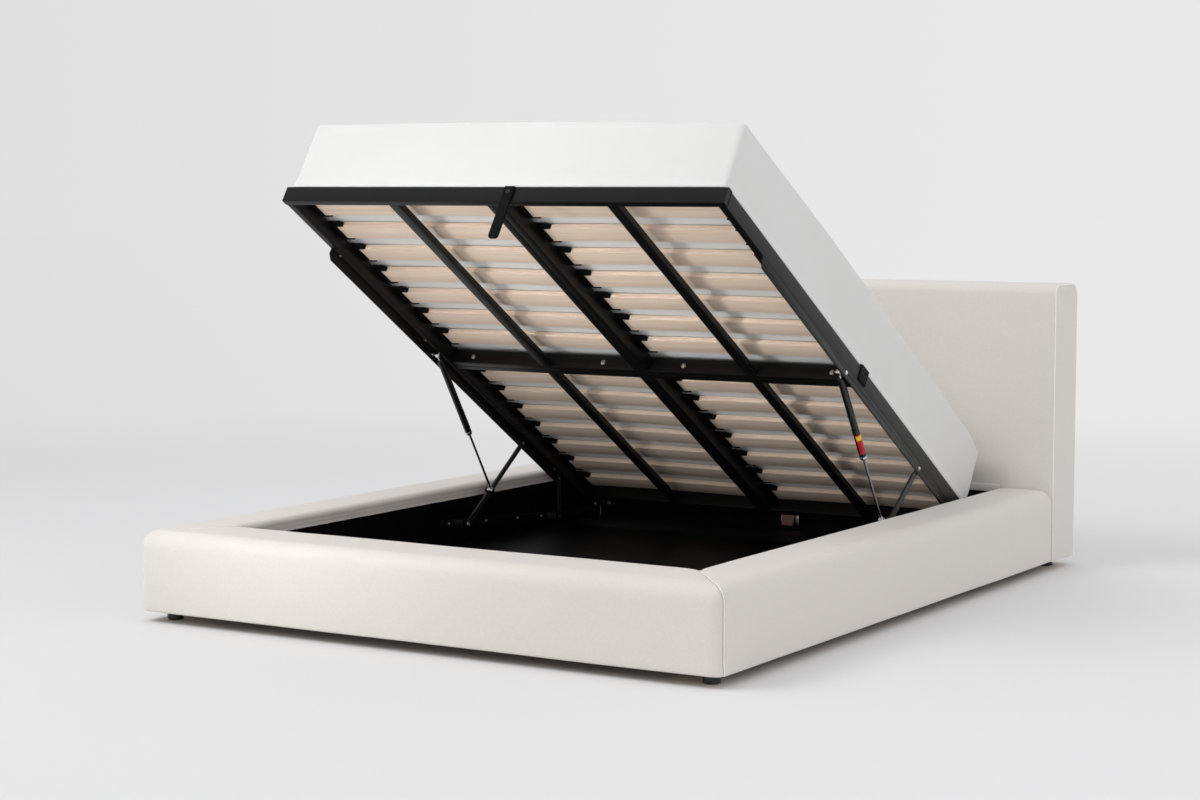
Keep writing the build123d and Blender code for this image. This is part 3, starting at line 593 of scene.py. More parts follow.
@dataclass(frozen=True)
class WovenCover(Finish):
    """Upholstery cloth: a tight plain weave with a brushed face, so it is matt with a faint halo."""

    thread: float = 0.0022
    slub: float = 0.006
    sheen: float = 0.25

    def paint(self, brush: Brush, place: Socket) -> None:
        """Mix slow mottling and slubs into the colour, and weave the two thread directions."""
        mottle = brush.noise(place, 1 / self.slub, 5.0)
        grain = brush.noise(place, 0.5 / self.thread, 2.0)
        self.tint(brush, brush.ramp(brush.combine("ADD", mottle, grain), 0.6, 1.4))
        weave = [brush.bands(place, self.thread, axis, 0.6) for axis in "XYZ"]
        brush.bump(brush.combine("ADD", *weave, grain), 0.22, 0.0006)
        brush.fill(SURFACE, {"Sheen Weight": self.sheen, "Sheen Roughness": 0.5})


@dataclass(frozen=True)
class KnitCover(Finish):
    """Mattress cover: a fine white jersey knit, soft and matt."""

    loop: float = 0.0024

    def paint(self, brush: Brush, place: Socket) -> None:
        """Tone the colour slowly and raise small loops."""
        self.tint(brush, brush.noise(place, 6.0, 3.0))
        loops = brush.node("TexVoronoi", {"Vector": place, "Scale": 1 / self.loop}, "Distance")
        brush.bump(loops, 0.12, 0.0005)
        brush.fill(SURFACE, {"Sheen Weight": 0.2})


@dataclass(frozen=True)
class PowderCoat(Finish):
    """Powder-coated steel: satin black with the fine orange peel of baked powder."""

    peel: float = 0.0016

    def paint(self, brush: Brush, place: Socket) -> None:
        """Vary the satin a little and add the peel."""
        slow = brush.noise(place, 14.0, 4.0)
        self.tint(brush, slow)
        self.drift(brush, slow, self.roughness - 0.06, self.roughness + 0.08)
        brush.bump(brush.noise(place, 1 / self.peel, 1.0), 0.10, 0.0003)


@dataclass(frozen=True)
class Veneer(Finish):
    """Birch veneer: pale, with soft long grain; it reads its own map, with the grain along U."""

    grain: float = 0.004

    def paint(self, brush: Brush, place: Socket) -> None:
        """Stretch two noises along the grain: broad figure and fine pores."""
        chart = brush.node("UVMap", output="UV", uv_map=GRAIN_MAP)
        broad = brush.node("Mapping", {"Vector": chart, "Scale": (1.6, 1 / (4 * self.grain), 1)})
        fine = brush.node("Mapping", {"Vector": chart, "Scale": (9, 2 / self.grain, 1)})
        pores = brush.noise(fine, 1.0, 4.0)
        both = brush.combine("ADD", brush.noise(broad, 1.0, 3.0, 0.6), pores)
        self.tint(brush, brush.ramp(both, 0.65, 1.35))
        brush.bump(pores, 0.15, 0.0003)


@dataclass(frozen=True)
class PlyEdge(Finish):
    """The sanded edge of a glued slat: thin plies, each a little lighter or darker than the next."""

    ply: float = 0.0022

    def paint(self, brush: Brush, place: Socket) -> None:
        """Lay the plies along V and streak them along U."""
        chart = brush.node("UVMap", output="UV", uv_map=GRAIN_MAP)
        long = brush.node("Mapping", {"Vector": chart, "Scale": (5, 500, 1)})
        plies = brush.bands(chart, 2 * self.ply, "Y")
        both = brush.combine("MULTIPLY", plies, brush.noise(long, 1.0, 3.0))
        self.tint(brush, brush.ramp(both, 0.1, 0.65))


@dataclass(frozen=True)
class MouldedPlastic(Finish):
    """Moulded polypropylene: black, with the fine spark-eroded grain of its mould."""

    grit: float = 0.0009

    def paint(self, brush: Brush, place: Socket) -> None:
        """Grain the surface and let the tone drift."""
        self.tint(brush, brush.noise(place, 20.0, 2.0))
        brush.bump(brush.noise(place, 1 / self.grit, 1.0), 0.15, 0.0002)


@dataclass(frozen=True)
class SpunCloth(Finish):
    """Spun-bonded lining cloth: black, thin, with a faint silky gleam from its pressed fibres."""

    fibre: float = 0.003

    def paint(self, brush: Brush, place: Socket) -> None:
        """Press a dimpled fibre pattern into the cloth."""
        cells = {"Vector": place, "Scale": 1 / self.fibre}
        dimples = brush.node("TexVoronoi", cells, "Distance", feature="SMOOTH_F1")
        slow = brush.noise(place, 9.0, 4.0)
        self.tint(brush, slow)
        brush.bump(brush.combine("ADD", dimples, slow), 0.25, 0.0008)


@dataclass(frozen=True)
class PlatedSteel(Finish):
    """Plated or ground steel: its roughness drifts a little, as plating does."""

    cloud: float = 0.006

    def paint(self, brush: Brush, place: Socket) -> None:
        """Cloud the tone and the roughness."""
        brush.fill(SURFACE, {"Metallic": 1.0})
        cloud = brush.noise(place, 1 / self.cloud, 3.0)
        self.tint(brush, cloud)
        self.drift(brush, cloud, self.roughness * 0.8, self.roughness * 1.3)


@dataclass(frozen=True)
class Webbing(Finish):
    """Woven nylon webbing: black, with ribs across its width and a dull silk gleam."""

    rib: float = 0.0025
    tilt: float = 0.0

    def paint(self, brush: Brush, place: Socket) -> None:
        """Raise the ribs in the webbing's own direction."""
        own = brush.node("Mapping", {"Vector": place, "Rotation": (self.tilt, 0, 0)})
        weave = brush.combine("ADD", *[brush.bands(own, self.rib, axis) for axis in "XZ"])
        self.tint(brush, brush.combine("MULTIPLY", weave, 0.5))
        brush.bump(weave, 0.5, 0.0006)


@dataclass(frozen=True)
class PrintedFilm(Finish):
    """Printed plastic film: an even ink under a gloss varnish, faintly uneven where it is wrapped."""

    def paint(self, brush: Brush, place: Socket) -> None:
        """Let the ink drift a little."""
        self.tint(brush, brush.noise(place, 120.0, 2.0))


@dataclass(frozen=True)
class Timber(Finish):
    """Plain inner timber: sawn softwood or chipboard, with grain or chips of one size."""

    chip: float = 0.006
    stretch: Point = (1.0, 1.0, 1.0)

    def paint(self, brush: Brush, place: Socket) -> None:
        """Scatter the chips, or stretch them into grain."""
        along = brush.node("Mapping", {"Vector": place, "Scale": self.stretch})
        chips = brush.noise(along, 1 / self.chip, 5.0)
        self.tint(brush, brush.ramp(chips, 0.3, 0.7))
        brush.bump(chips, 0.2, 0.0005)


COVER = WovenCover("brushed_plain_weave", "#DFDAD4", "#D8D3CC", 0.9, specular=0.2)
# Painted highlight: the piping and the hem stitches use a near-white copy of the cover cloth, so they read as
# catching the light along the seams.
PIPING_PAINTED_HIGHLIGHT = WovenCover("piping_cloth", "#FAF8F5", "#F2EFEB", 0.85, specular=0.2, sheen=0.15)
JERSEY = KnitCover("mattress_jersey", "#DDDDDC", "#D7D7D5", 0.85, specular=0.2)
BLACK_STEEL = PowderCoat("black_powder_coat", "#0E0E0E", "#141414", 0.34, specular=0.20)
LINK_STEEL = PowderCoat("black_powder_coat_link", "#1E1E20", "#262628", 0.38, specular=0.35)
DARK_STEEL = PowderCoat("blackened_steel", "#0E0E0E", "#161514", 0.30, specular=0.6)
SLAT_FACE = Veneer("birch_veneer", "#F2DFCC", "#E0C8B2", 0.62, specular=0.35)
SLAT_EDGE = PlyEdge("ply_edge", "#FCE8D6", "#EFCEAD", 0.6, specular=0.35)
PLASTIC = MouldedPlastic("black_polypropylene", "#0A0A0A", "#101010", 0.5, specular=0.2)
GLOSS_PLASTIC = MouldedPlastic("foot_polypropylene", "#18181B", "#222226", 0.35)
LINING = SpunCloth("spun_bonded_lining", "#030304", "#070709", 0.45, specular=0.12)
ZINC = PlatedSteel("bright_zinc_plate", "#D0CBC6", "#BEB2A8", 0.26)
CHROME = PlatedSteel("chrome_plate", "#E4E5E6", "#D8DADB", 0.10)
ROD_STEEL = PlatedSteel("ground_steel", "#A8AAAD", "#96989B", 0.22)
GAS_PAINT = PowderCoat("black_enamel", "#101011", "#161617", 0.25)
STRAP_WEB = Webbing("nylon_webbing", "#040404", "#0D0D0E", 0.7, specular=0.15, tilt=math.radians(32.5))
RED_FILM = PrintedFilm("red_film", "#B80F1C", "#A80C18", 0.35)
YELLOW_FILM = PrintedFilm("yellow_film", "#EFC42C", "#E2B61F", 0.35)
CHIPBOARD = Timber("chipboard", "#C7AF8B", "#AF946C", 0.8)
SOFTWOOD = Timber("sawn_softwood", "#DCC39A", "#C6A677", 0.75, chip=0.004, stretch=(0.06, 1.0, 1.0))
BEECH = Timber("beech_block", "#A98478", "#8E695E", 0.6, chip=0.002, stretch=(0.1, 1.0, 1.0))


# ---------------------------------------------------------------- profiles of the turned pieces
# Points (radius, height) along the lathe's axis.
FOOT_PROFILE = [
    *[(0, 0), (0.0215, 0), (0.0235, 0.002), (0.024, 0.005), (0.024, 0.021)],
    *[(0.0232, 0.0236), (0.0212, 0.024), (0.0206, 0.0246), (0.021, 0.030), (0, 0.030)],
]
ANGLE_BOLT_PROFILE = [
    *[(0, 0), (0.006, 0), (0.006, 0.0022), (0.0052, 0.0036), (0.003, 0.004), (0.003, 0.0022), (0, 0.0022)],
]
MID_BOLT_PROFILE = [
    *[(0, 0), (0.0086, 0), (0.0086, 0.0012), (0.0066, 0.0013), (0.0065, 0.0036), (0.0048, 0.0048)],
    *[(0.0026, 0.005), (0.0024, 0.0026), (0, 0.0022)],
]
STRAP_SCREW_PROFILE = [
    *[(0, 0.007), (0.003, 0.007), (0.003, 0.0003), (0.007, 0), (0.007, -0.0006), (0.006, -0.0016)],
    *[(0.0035, -0.0024), (0.0022, -0.0025), (0.002, -0.0012), (0, -0.001)],
]
PAN_HEAD_PROFILE = [
    *[(0, 0), (0.0055, 0), (0.0055, 0.0009), (0.0046, 0.0024), (0.003, 0.003), (0.0016, 0.003)],
    *[(0.0014, 0.0016), (0, 0.0016)],
]
RIVET_PROFILE = [(0, 0.0035), (0.003, 0.0034), (0.0055, 0.0024), (0.007, 0.0006), (0.007, 0), (0.004, 0)]
PIVOT_HEAD_PROFILE = [
    *[(0, 0.0035), (0.0025, 0.0035), (0.0028, 0.0022), (0.0045, 0.0033), (0.007, 0.0012), (0.007, 0), (0, 0)],
]
SOCKET_CUP_PROFILE = [
    *[(0, -0.008), (0.0075, -0.008), (0.009, -0.0065), (0.009, 0.0068), (0.008, 0.008), (0.0069, 0.008)],
    *[(0.0068, -0.0066), (0, -0.0068)],
]
SOCKET_NECK_PROFILE = [
    *[(0, 0.0088), (0.0062, 0.0088), (0.0062, 0.0125), (0.005, 0.0135), (0.005, 0.0215), (0, 0.0215)],
]
COLLAR_PROFILE = [
    *[(0.0045, 0.0001), (0.0114, 0.0001), (0.0118, 0.0006), (0.0118, 0.0072), (0.0111, 0.0078)],
    *[(0.0106, 0.0082), (0.0101, 0.0110), (0.0080, 0.0137), (0.0045, 0.0139), (0.0045, 0.0001)],
]
STITCH_PROFILE = [(0, 0), (0.0005, 0.0004), (0.0006, 0.0026), (0.0005, 0.0048), (0, 0.0052)]
SHANK_SIDES = 24
NUT_SIDES = 6
NUT_EDGE = 0.0006


# ---------------------------------------------------------------- pieces shared by the sub-assemblies
@dataclass
class SubAssembly:
    """A part of the bed with its own sizes, which builds its pieces and dresses them."""

    frame: Frame

    def dress(self, piece: Piece, body: str, slot: str, finishes: list[Finish], *replaced: str) -> Piece:
        """Give a piece its materials and its place in the model.

        Args:
            piece: The piece.
            body: The body it rides on.
            slot: The record's material slot; not used.
            finishes: Its finishes, in the order of its material slots.
            *replaced: The nodes that it stands for.

        Returns:
            The same piece.
        """
        chosen = [face.material_index for face in piece.data.polygons]
        piece.data.materials.clear()
        for finish in finishes:
            piece.data.materials.append(finish.material())
        if len(finishes) > 1:
            for face, index in zip(piece.data.polygons, chosen):
                face.material_index = index
        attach(piece, body)
        if replaced:
            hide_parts(*replaced)
        LOG.info("%s rides on %s: %d faces", piece.name, body, len(piece.data.polygons))
        return piece

    def repaint(self, node: str, finish: Finish) -> None:
        """Give a node that stays its finish."""
        data = self.frame["nodes"][node].data
        data.materials.clear()
        data.materials.append(finish.material())
        LOG.info("%s keeps its shape", node)

    def ease(self, node: str, body: str, slot: str, finish: Finish, width: float) -> Piece:
        """Replace a node by a copy with eased edges."""
        piece = Bench.eased(self.frame, node, node + "_finished", width)
        return self.dress(piece, body, slot, [finish], node)


@dataclass(frozen=True)
class ClothPass:
    """One cloth simulation that swells a padded piece against its pinned points."""

    pressure: float = 4.0
    cap: float = 0.008
    frames: int = 20
    stiffness: float = 25.0
    bending: float = 2.0

    def swell(self, piece: Piece, pinned: list[int]) -> None:
        """Run the simulation and keep its result, with no point moved further than the cap.

        Args:
            piece: The padded piece.
            pinned: Points that stay where they are.
        """
        rest = [vertex.co.copy() for vertex in piece.data.vertices]
        group = piece.vertex_groups.new(name="pinned")
        group.add(pinned, 1.0, "REPLACE")
        modifier = piece.modifiers.new("Cloth", "CLOTH")
        settings = modifier.settings
        settings.vertex_group_mass = "pinned"
        settings.use_pressure = True
        settings.uniform_pressure_force = self.pressure
        settings.tension_stiffness = self.stiffness
        settings.compression_stiffness = self.stiffness
        settings.bending_stiffness = self.bending
        settings.effector_weights.gravity = 0.0
        modifier.point_cache.frame_start = 1
        modifier.point_cache.frame_end = self.frames
        scene = bpy.context.scene
        for step in range(1, self.frames + 1):
            scene.frame_set(step)
        swollen = piece.evaluated_get(bpy.context.evaluated_depsgraph_get())
        places = [vertex.co.copy() for vertex in swollen.data.vertices]
        piece.modifiers.remove(modifier)
        piece.vertex_groups.remove(group)
        for vertex, before, after in zip(piece.data.vertices, rest, places):
            step = after - before
            vertex.co = before + step * min(1.0, self.cap / max(step.length, 1e-9))
        scene.frame_set(1)


SEAM_STEPS = [0.0, 0.002, 0.004, 0.007, 0.011, 0.016, 0.022, 0.030, 0.040, 0.052]


def arc(centre: Pair, radius: float, start: float, end: float, count: int) -> list[Vector]:
    """Give points on an arc, without its first point, between two angles in degrees."""
    angles = [math.radians(start + (end - start) * i / count) for i in range(1, count + 1)]
    return [Vector((centre[0] + radius * math.cos(a), centre[1] + radius * math.sin(a))) for a in angles]


def run(start: Vector, end: Pair, step: float) -> list[Vector]:
    """Give points on a straight line, without its first point."""
    goal = Vector(end)
    count = max(1, round((goal - start).length / step))
    return [start.lerp(goal, i / count) for i in range(1, count + 1)]


def stations(length: float, step: float) -> list[float]:
    """Give places along a length, a usual step apart and closer together at the seams at its ends."""
    first, last = SEAM_STEPS[-1], length - SEAM_STEPS[-1]
    count = max(1, round((last - first) / step))
    middle = [first + (last - first) * i / count for i in range(1, count)]
    return SEAM_STEPS + middle + [length - place for place in reversed(SEAM_STEPS)]


def rounded(a: float, b: float, radius: float) -> Pair:
    """Round a square corner: move a point at distances a and b from its two sides onto the arc."""
    if a >= radius or b >= radius:
        return a, b
    across, along = radius - a, radius - b
    shrink = max(across, along) / max(math.hypot(across, along), 1e-9)
    return radius - across * shrink, radius - along * shrink


def wrinkle(point: Vector, size: float, seed: float) -> float:
    """Give a soft noise between -1 and 1 with waves of about this size."""
    return noise.noise(point / size + Vector((seed, seed * 0.7, -seed)))


# ---------------------------------------------------------------- upholstered rails
@dataclass
class RailCovers(SubAssembly):
    """The sewn covers of the foot rail and the two side rails, with their mitre seams and hems."""

    half_width: float = 0.9825
    foot_face: float = -1.2575
    head_face: float = 1.0575
    top: float = 0.273
    underside: float = 0.030
    foot_width: float = 0.226
    side_width: float = 0.192
    outer_radius: float = 0.050
    inner_radius: float = 0.020
    low_radius: float = 0.008
    corner_radius: float = 0.030
    outer_padding: float = 0.022
    inner_padding: float = 0.005
    hem: float = 0.045
    row_gaps: Pair = (0.007, 0.019)
    row_depth: float = 0.0024
    row_width: float = 0.003
    row_end: float = 0.01
    pucker: float = 0.0010
    step: float = 0.013
    under_step: float = 0.007
    hem_step: float = 0.004
    hidden_step: float = 0.04
    seam_wrap: float = 0.027
    seam_depth: float = 0.0095
    seam_sharp: float = 0.0055
    seam_soft: float = 0.020
    wave: float = 0.0011
    crease: float = 0.0009
    crease_reach: float = 0.07
    piping_radius: float = 0.0018
    stitch_pitch: float = 0.0075
    stitch_length: float = 0.0052
    stitch_sunk: float = 0.0008

    def outline(self, width: float) -> tuple[list[Vector], int]:
        """Give a rail's section as points (distance in, height), and how many are on its outer skin."""
        low, top = self.underside, self.top
        points = [Vector((self.outer_padding, low))]
        points += run(points[-1], (self.low_radius, low), self.under_step)
        points += arc((self.low_radius, low + self.low_radius), self.low_radius, 270, 180, 3)
        points += run(points[-1], (0, top - self.outer_radius), self.step)
        points += arc((self.outer_radius, top - self.outer_radius), self.outer_radius, 180, 90, 8)
        points += run(points[-1], (width - self.inner_radius, top), self.step)
        points += arc((width - self.inner_radius, top - self.inner_radius), self.inner_radius, 90, 0, 5)
        points += run(points[-1], (width, top - self.hem), self.hem_step)
        skin = len(points)
        front, back, under = self.outer_padding, width - self.inner_padding, top - self.outer_padding
        for corner in ((back, top - self.hem), (back, under), (front, under), (front, low)):
            points += run(points[-1], corner, self.hidden_step)
        return points[:-1], skin

    def pulled(self, points: list[Vector], skin: int, seam: float, place: float, seed: float) -> list[Vector]:
        """Pull a section's skin in near a seam and let it lie softly elsewhere.

        Args:
            points: The section.
            skin: How many of its points are on the skin.
            seam: Distance of this section from the nearest seam.
            place: Distance along the rail.
            seed: Seed of the rail's soft waves.

        Returns:
            The section as the cloth lies.
        """
        made = []
        for index, point in enumerate(points):
            if not 0 < index < skin:
                made.append(point.copy())
                continue
            tangent = (points[index + 1] - points[index - 1]).normalized()
            inward = Vector((tangent.y, -tangent.x))
            spot = Vector((place, point.x * 1.5, point.y * 1.5))
            sharp, soft = math.exp(-((seam / self.seam_sharp) ** 2)), math.exp(-seam / self.seam_soft)
            depth = self.seam_depth * (0.55 * sharp + 0.45 * soft)
            depth *= min(1.0, 0.2 + 0.8 * (point.y - self.underside) / 0.03)
            depth += self.wave * (wrinkle(spot, 0.34, seed) + 0.5)
            depth += self.crease * wrinkle(spot, 0.035, seed + 3) * math.exp(-seam / self.crease_reach)
            if point.y < self.top - self.hem + 0.025 and index > skin // 2:
                row = min(abs(point.y - (self.top - self.hem) - gap) for gap in self.row_gaps)
                depth += self.row_depth * math.exp(-((row / self.row_width) ** 2))
                depth += self.pucker * wrinkle(spot, 0.05, seed + 5)
            made.append(point + inward * depth)
        return made

    def corner(self, x: float, y: float) -> Pair:
        """Round the plan at the two foot corners."""
        across, along = rounded(self.half_width - abs(x), y - self.foot_face, self.corner_radius)
        return math.copysign(self.half_width - across, x), self.foot_face + along

    def wrap(self, depth: float) -> float:
        """Give how far round the corner the foot cover reaches, at a depth in from the outer face."""
        return self.seam_wrap * max(0.0, 1 - depth / self.outer_radius) ** 2

    def foot_point(self, share: float, point: Vector) -> Vector:
        """Give a point of the foot rail, from its share of the way to the right seam."""
        reach = self.half_width - point.x * self.side_width / self.foot_width
        path = abs(share) * (reach + self.wrap(point.x))
        x = math.copysign(min(path, reach), share)
        x, y = self.corner(x, self.foot_face + point.x + max(0.0, path - reach))
        return Vector((x, y, point.y))

    def side_point(self, share: float, point: Vector) -> Vector:
        """Give a point of the right side rail, from its share of the way to the headboard."""
        depth = point.x * self.foot_width / self.side_width
        start = self.foot_face + depth + self.wrap(depth)
        x, y = self.corner(self.half_width - point.x, start + share * (self.head_face - start))
        return Vector((x, y, point.y))

    def foot_cover(self) -> Piece:
        """Build the foot rail's cover."""
        points, skin = self.outline(self.foot_width)
        length = 2 * self.half_width
        rings = []
        for place in stations(length, self.step):
            seam = min(place, length - place)
            section = self.pulled(points, skin, seam, place, 1.0)
            rings.append([self.foot_point(2 * place / length - 1, point) for point in section])
        return Bench.smooth(Bench.skin("foot_rail_cover_sewn", rings, closed=True, capped=True), SOFT_ANGLE)

    def side_cover(self, side: Side) -> Piece:
        """Build a side rail's cover."""
        points, skin = self.outline(self.side_width)
        length = self.head_face - self.foot_face
        rings = []
        for place in stations(length, self.step):
            seam = min(place, (length - place) * 1.6)
            section = self.pulled(points, skin, seam, place, 2.0 + side.value)
            rings.append([self.side_point(place / length, point) for point in section])
        cover = Bench.skin("side_rail_cover_sewn_" + side.word, rings, closed=True, capped=True)
        return Bench.smooth(Bench.crossed(cover) if side is Side.LEFT else cover, SOFT_ANGLE)

    def mitre_piping(self, side: Side) -> Piece:
        """Lay the piping of a corner, from the inner corner over the top and down to the underside."""
        points, skin = self.outline(self.foot_width)
        section = self.pulled(points, skin, 0.006, 0.0, 1.0)[3 : skin - 8]
        line = [self.foot_point(1.0, point) for point in reversed(section)]
        line = [Vector((side.value * point.x, point.y, point.z)) for point in line]
        return Bench.piping("mitre_piping_" + side.word, line, self.piping_radius)

    def stitches(self, name: str, start: Vector, end: Vector, into: Vector) -> Piece:
        """Sew one row of stitches along a straight hem.

        Args:
            name: The row's name.
            start: Its first point.
            end: Its last point.
            into: The direction that the hem faces.

        Returns:
            The row.
        """
        along = (end - start).normalized()
        middle = start + along * self.stitch_length / 2
        spot = middle - along * self.stitch_length / 2 - into * self.stitch_sunk
        stitch = Bench.spun(name, STITCH_PROFILE, tuple(spot), tuple(along))
        Bench.modify(stitch, "DECIMATE", ratio=0.35)
        count = int((end - start).length / self.stitch_pitch)
        return Bench.modify(
            stitch,
            "ARRAY",
            count=count,
            use_relative_offset=False,
            use_constant_offset=True,
            constant_offset_displace=along * self.stitch_pitch,
        )

    def hem_rows(self) -> Piece:
        """Sew the two rows of the three hems."""
        inner_x, short = self.half_width - self.side_width, self.row_end
        inner_y = self.foot_face + self.foot_width
        rows = []
        for gap in self.row_gaps:
            z = self.top - self.hem + gap
            for side in Side:
                x = side.value * inner_x
                start, end = Vector((x, inner_y + short, z)), Vector((x, self.head_face - short, z))
                rows.append(self.stitches("hem_row", start, end, Vector((-side.value, 0, 0))))
            start, end = Vector((-inner_x + short, inner_y, z)), Vector((inner_x - short, inner_y, z))
            rows.append(self.stitches("hem_row", start, end, Vector((0, 1, 0))))
        return Bench.join("hem_stitches", rows)

    def build(self) -> None:
        """Build and dress every piece of the rails."""
        foot = self.dress(self.foot_cover(), "base", "upholstery", [COVER], "foot_rail_cover")
        for side in Side:
            node = "side_rail_cover_" + side.word
            cover = self.dress(self.side_cover(side), "base", "upholstery", [COVER], node)
            self.dress(self.mitre_piping(side), "base", "upholstery", [PIPING_PAINTED_HIGHLIGHT])
            self.repaint("side_rail_box_" + side.word, CHIPBOARD)
        self.dress(self.hem_rows(), "base", "upholstery", [PIPING_PAINTED_HIGHLIGHT])
        self.repaint("foot_rail_box", CHIPBOARD)


# ---------------------------------------------------------------- headboard
@dataclass
class Headboard(SubAssembly):
    """The padded headboard: one cloth over front, top and back, and two side panels sewn to it."""

    half_width: float = 0.9825
    front: float = 1.0575
    back: float = 1.2575
    top: float = 0.960
    underside: float = 0.0305
    front_radius: float = 0.034
    back_radius: float = 0.045
    edge_radius: float = 0.009
    step: float = 0.016
    piping_radius: float = 0.0018
    wave: float = 0.0014
    wave_edge: float = 0.05
    welt: float = 0.0012
    welt_width: float = 0.003
    panel_rings: tuple[float, ...] = (0.05, 0.12, 0.22, 0.36, 0.55, 0.78, 0.99)
    hem_low: Point = (-0.789, 1.0540, 0.2555)
    hem_high: Point = (0.789, 1.0573, 0.2805)

    @property
    def rise(self) -> float:
        """The headboard's height above its underside."""
        return self.top - self.underside

    def outline(self) -> list[Vector]:
        """Give the side view from the front's foot over the top to the back's foot."""
        points = [Vector((self.front, self.underside))]
        points += run(points[-1], (self.front, self.top - self.front_radius), self.step)
        centre = (self.front + self.front_radius, self.top - self.front_radius)
        points += arc(centre, self.front_radius, 180, 90, 7)
        points += run(points[-1], (self.back - self.back_radius, self.top), self.step)
        centre = (self.back - self.back_radius, self.top - self.back_radius)
        points += arc(centre, self.back_radius, 90, 0, 8)
        return points + run(points[-1], (self.back, self.underside), self.step)

    def inset(self, points: list[Vector], depth: float, x: float, waves: float) -> list[Vector]:
        """Draw the outline in by a depth, lay it across at x and let the cloth wave softly."""
        made = []
        last = len(points) - 1
        for index, point in enumerate(points):
            tangent = (points[min(index + 1, last)] - points[max(index - 1, 0)]).normalized()
            inward = Vector((tangent.y, -tangent.x))
            if index in (0, last):
                inward = Vector((1, 0)) if index == 0 else Vector((-1, 0))
            soft = waves * self.wave * (wrinkle(Vector((x, point.x, point.y)), 0.3, 9.0) + 0.4)
            place = point + inward * (depth + soft)
            made.append(Vector((x, place.x, place.y)))
        return made

    def cover(self) -> Piece:
        """Build the cover as one closed skin."""
        points = self.outline()
        radius = self.edge_radius
        rings = []
        for place in stations(2 * self.half_width, self.step):
            edge = min(place, 2 * self.half_width - place)
            over = max(0.0, radius - edge)
            depth = radius - math.sqrt(max(0.0, radius**2 - over**2))
            depth += self.welt * math.exp(-((edge - 0.3 * radius) ** 2) / self.welt_width**2)
            rings.append(self.inset(points, depth, place - self.half_width, min(1.0, edge / self.wave_edge)))
        middle, half = (self.front + self.back) / 2, (self.back - self.front) / 2
        panel = self.inset(points, radius, 0.0, 0.0)
        for share in self.panel_rings:
            for side in Side:
                flat = []
                for _, y, z in panel:
                    low = z - half * share * (z - self.underside) / self.rise
                    flat.append(Vector((side.value * self.half_width, y + (middle - y) * share, low)))
                rings.insert(0 if side is Side.LEFT else len(rings), flat)
        return Bench.smooth(Bench.skin("headboard_cover_sewn", rings, closed=True, capped=True), SOFT_ANGLE)

    def edge_piping(self, side: Side) -> Piece:
        """Lay the piping round the edge of a side panel."""
        radius = self.edge_radius
        depth = radius * (1 - math.cos(math.radians(45)))
        line = self.inset(self.outline(), depth, side.value * (self.half_width - depth), 0.0)
        return Bench.piping("headboard_piping_" + side.word, line, self.piping_radius)

    def hem_strip(self) -> Piece:
        """Fold the hem that ends the front cloth above the lining."""
        strip = Bench.block("headboard_hem", self.hem_low, self.hem_high)
        return Bench.smooth(Bench.bevel(strip, 0.0015, 3), 40)

    def build(self) -> None:
        """Build and dress every piece of the headboard."""
        cover = self.dress(self.cover(), "base", "upholstery", [COVER], "headboard_cover")
        for side in Side:
            self.dress(self.edge_piping(side), "base", "upholstery", [PIPING_PAINTED_HIGHLIGHT])
        self.dress(self.hem_strip(), "base", "upholstery", [COVER])
        self.repaint("headboard_frame", SOFTWOOD)
        self.repaint("headboard_panels", CHIPBOARD)


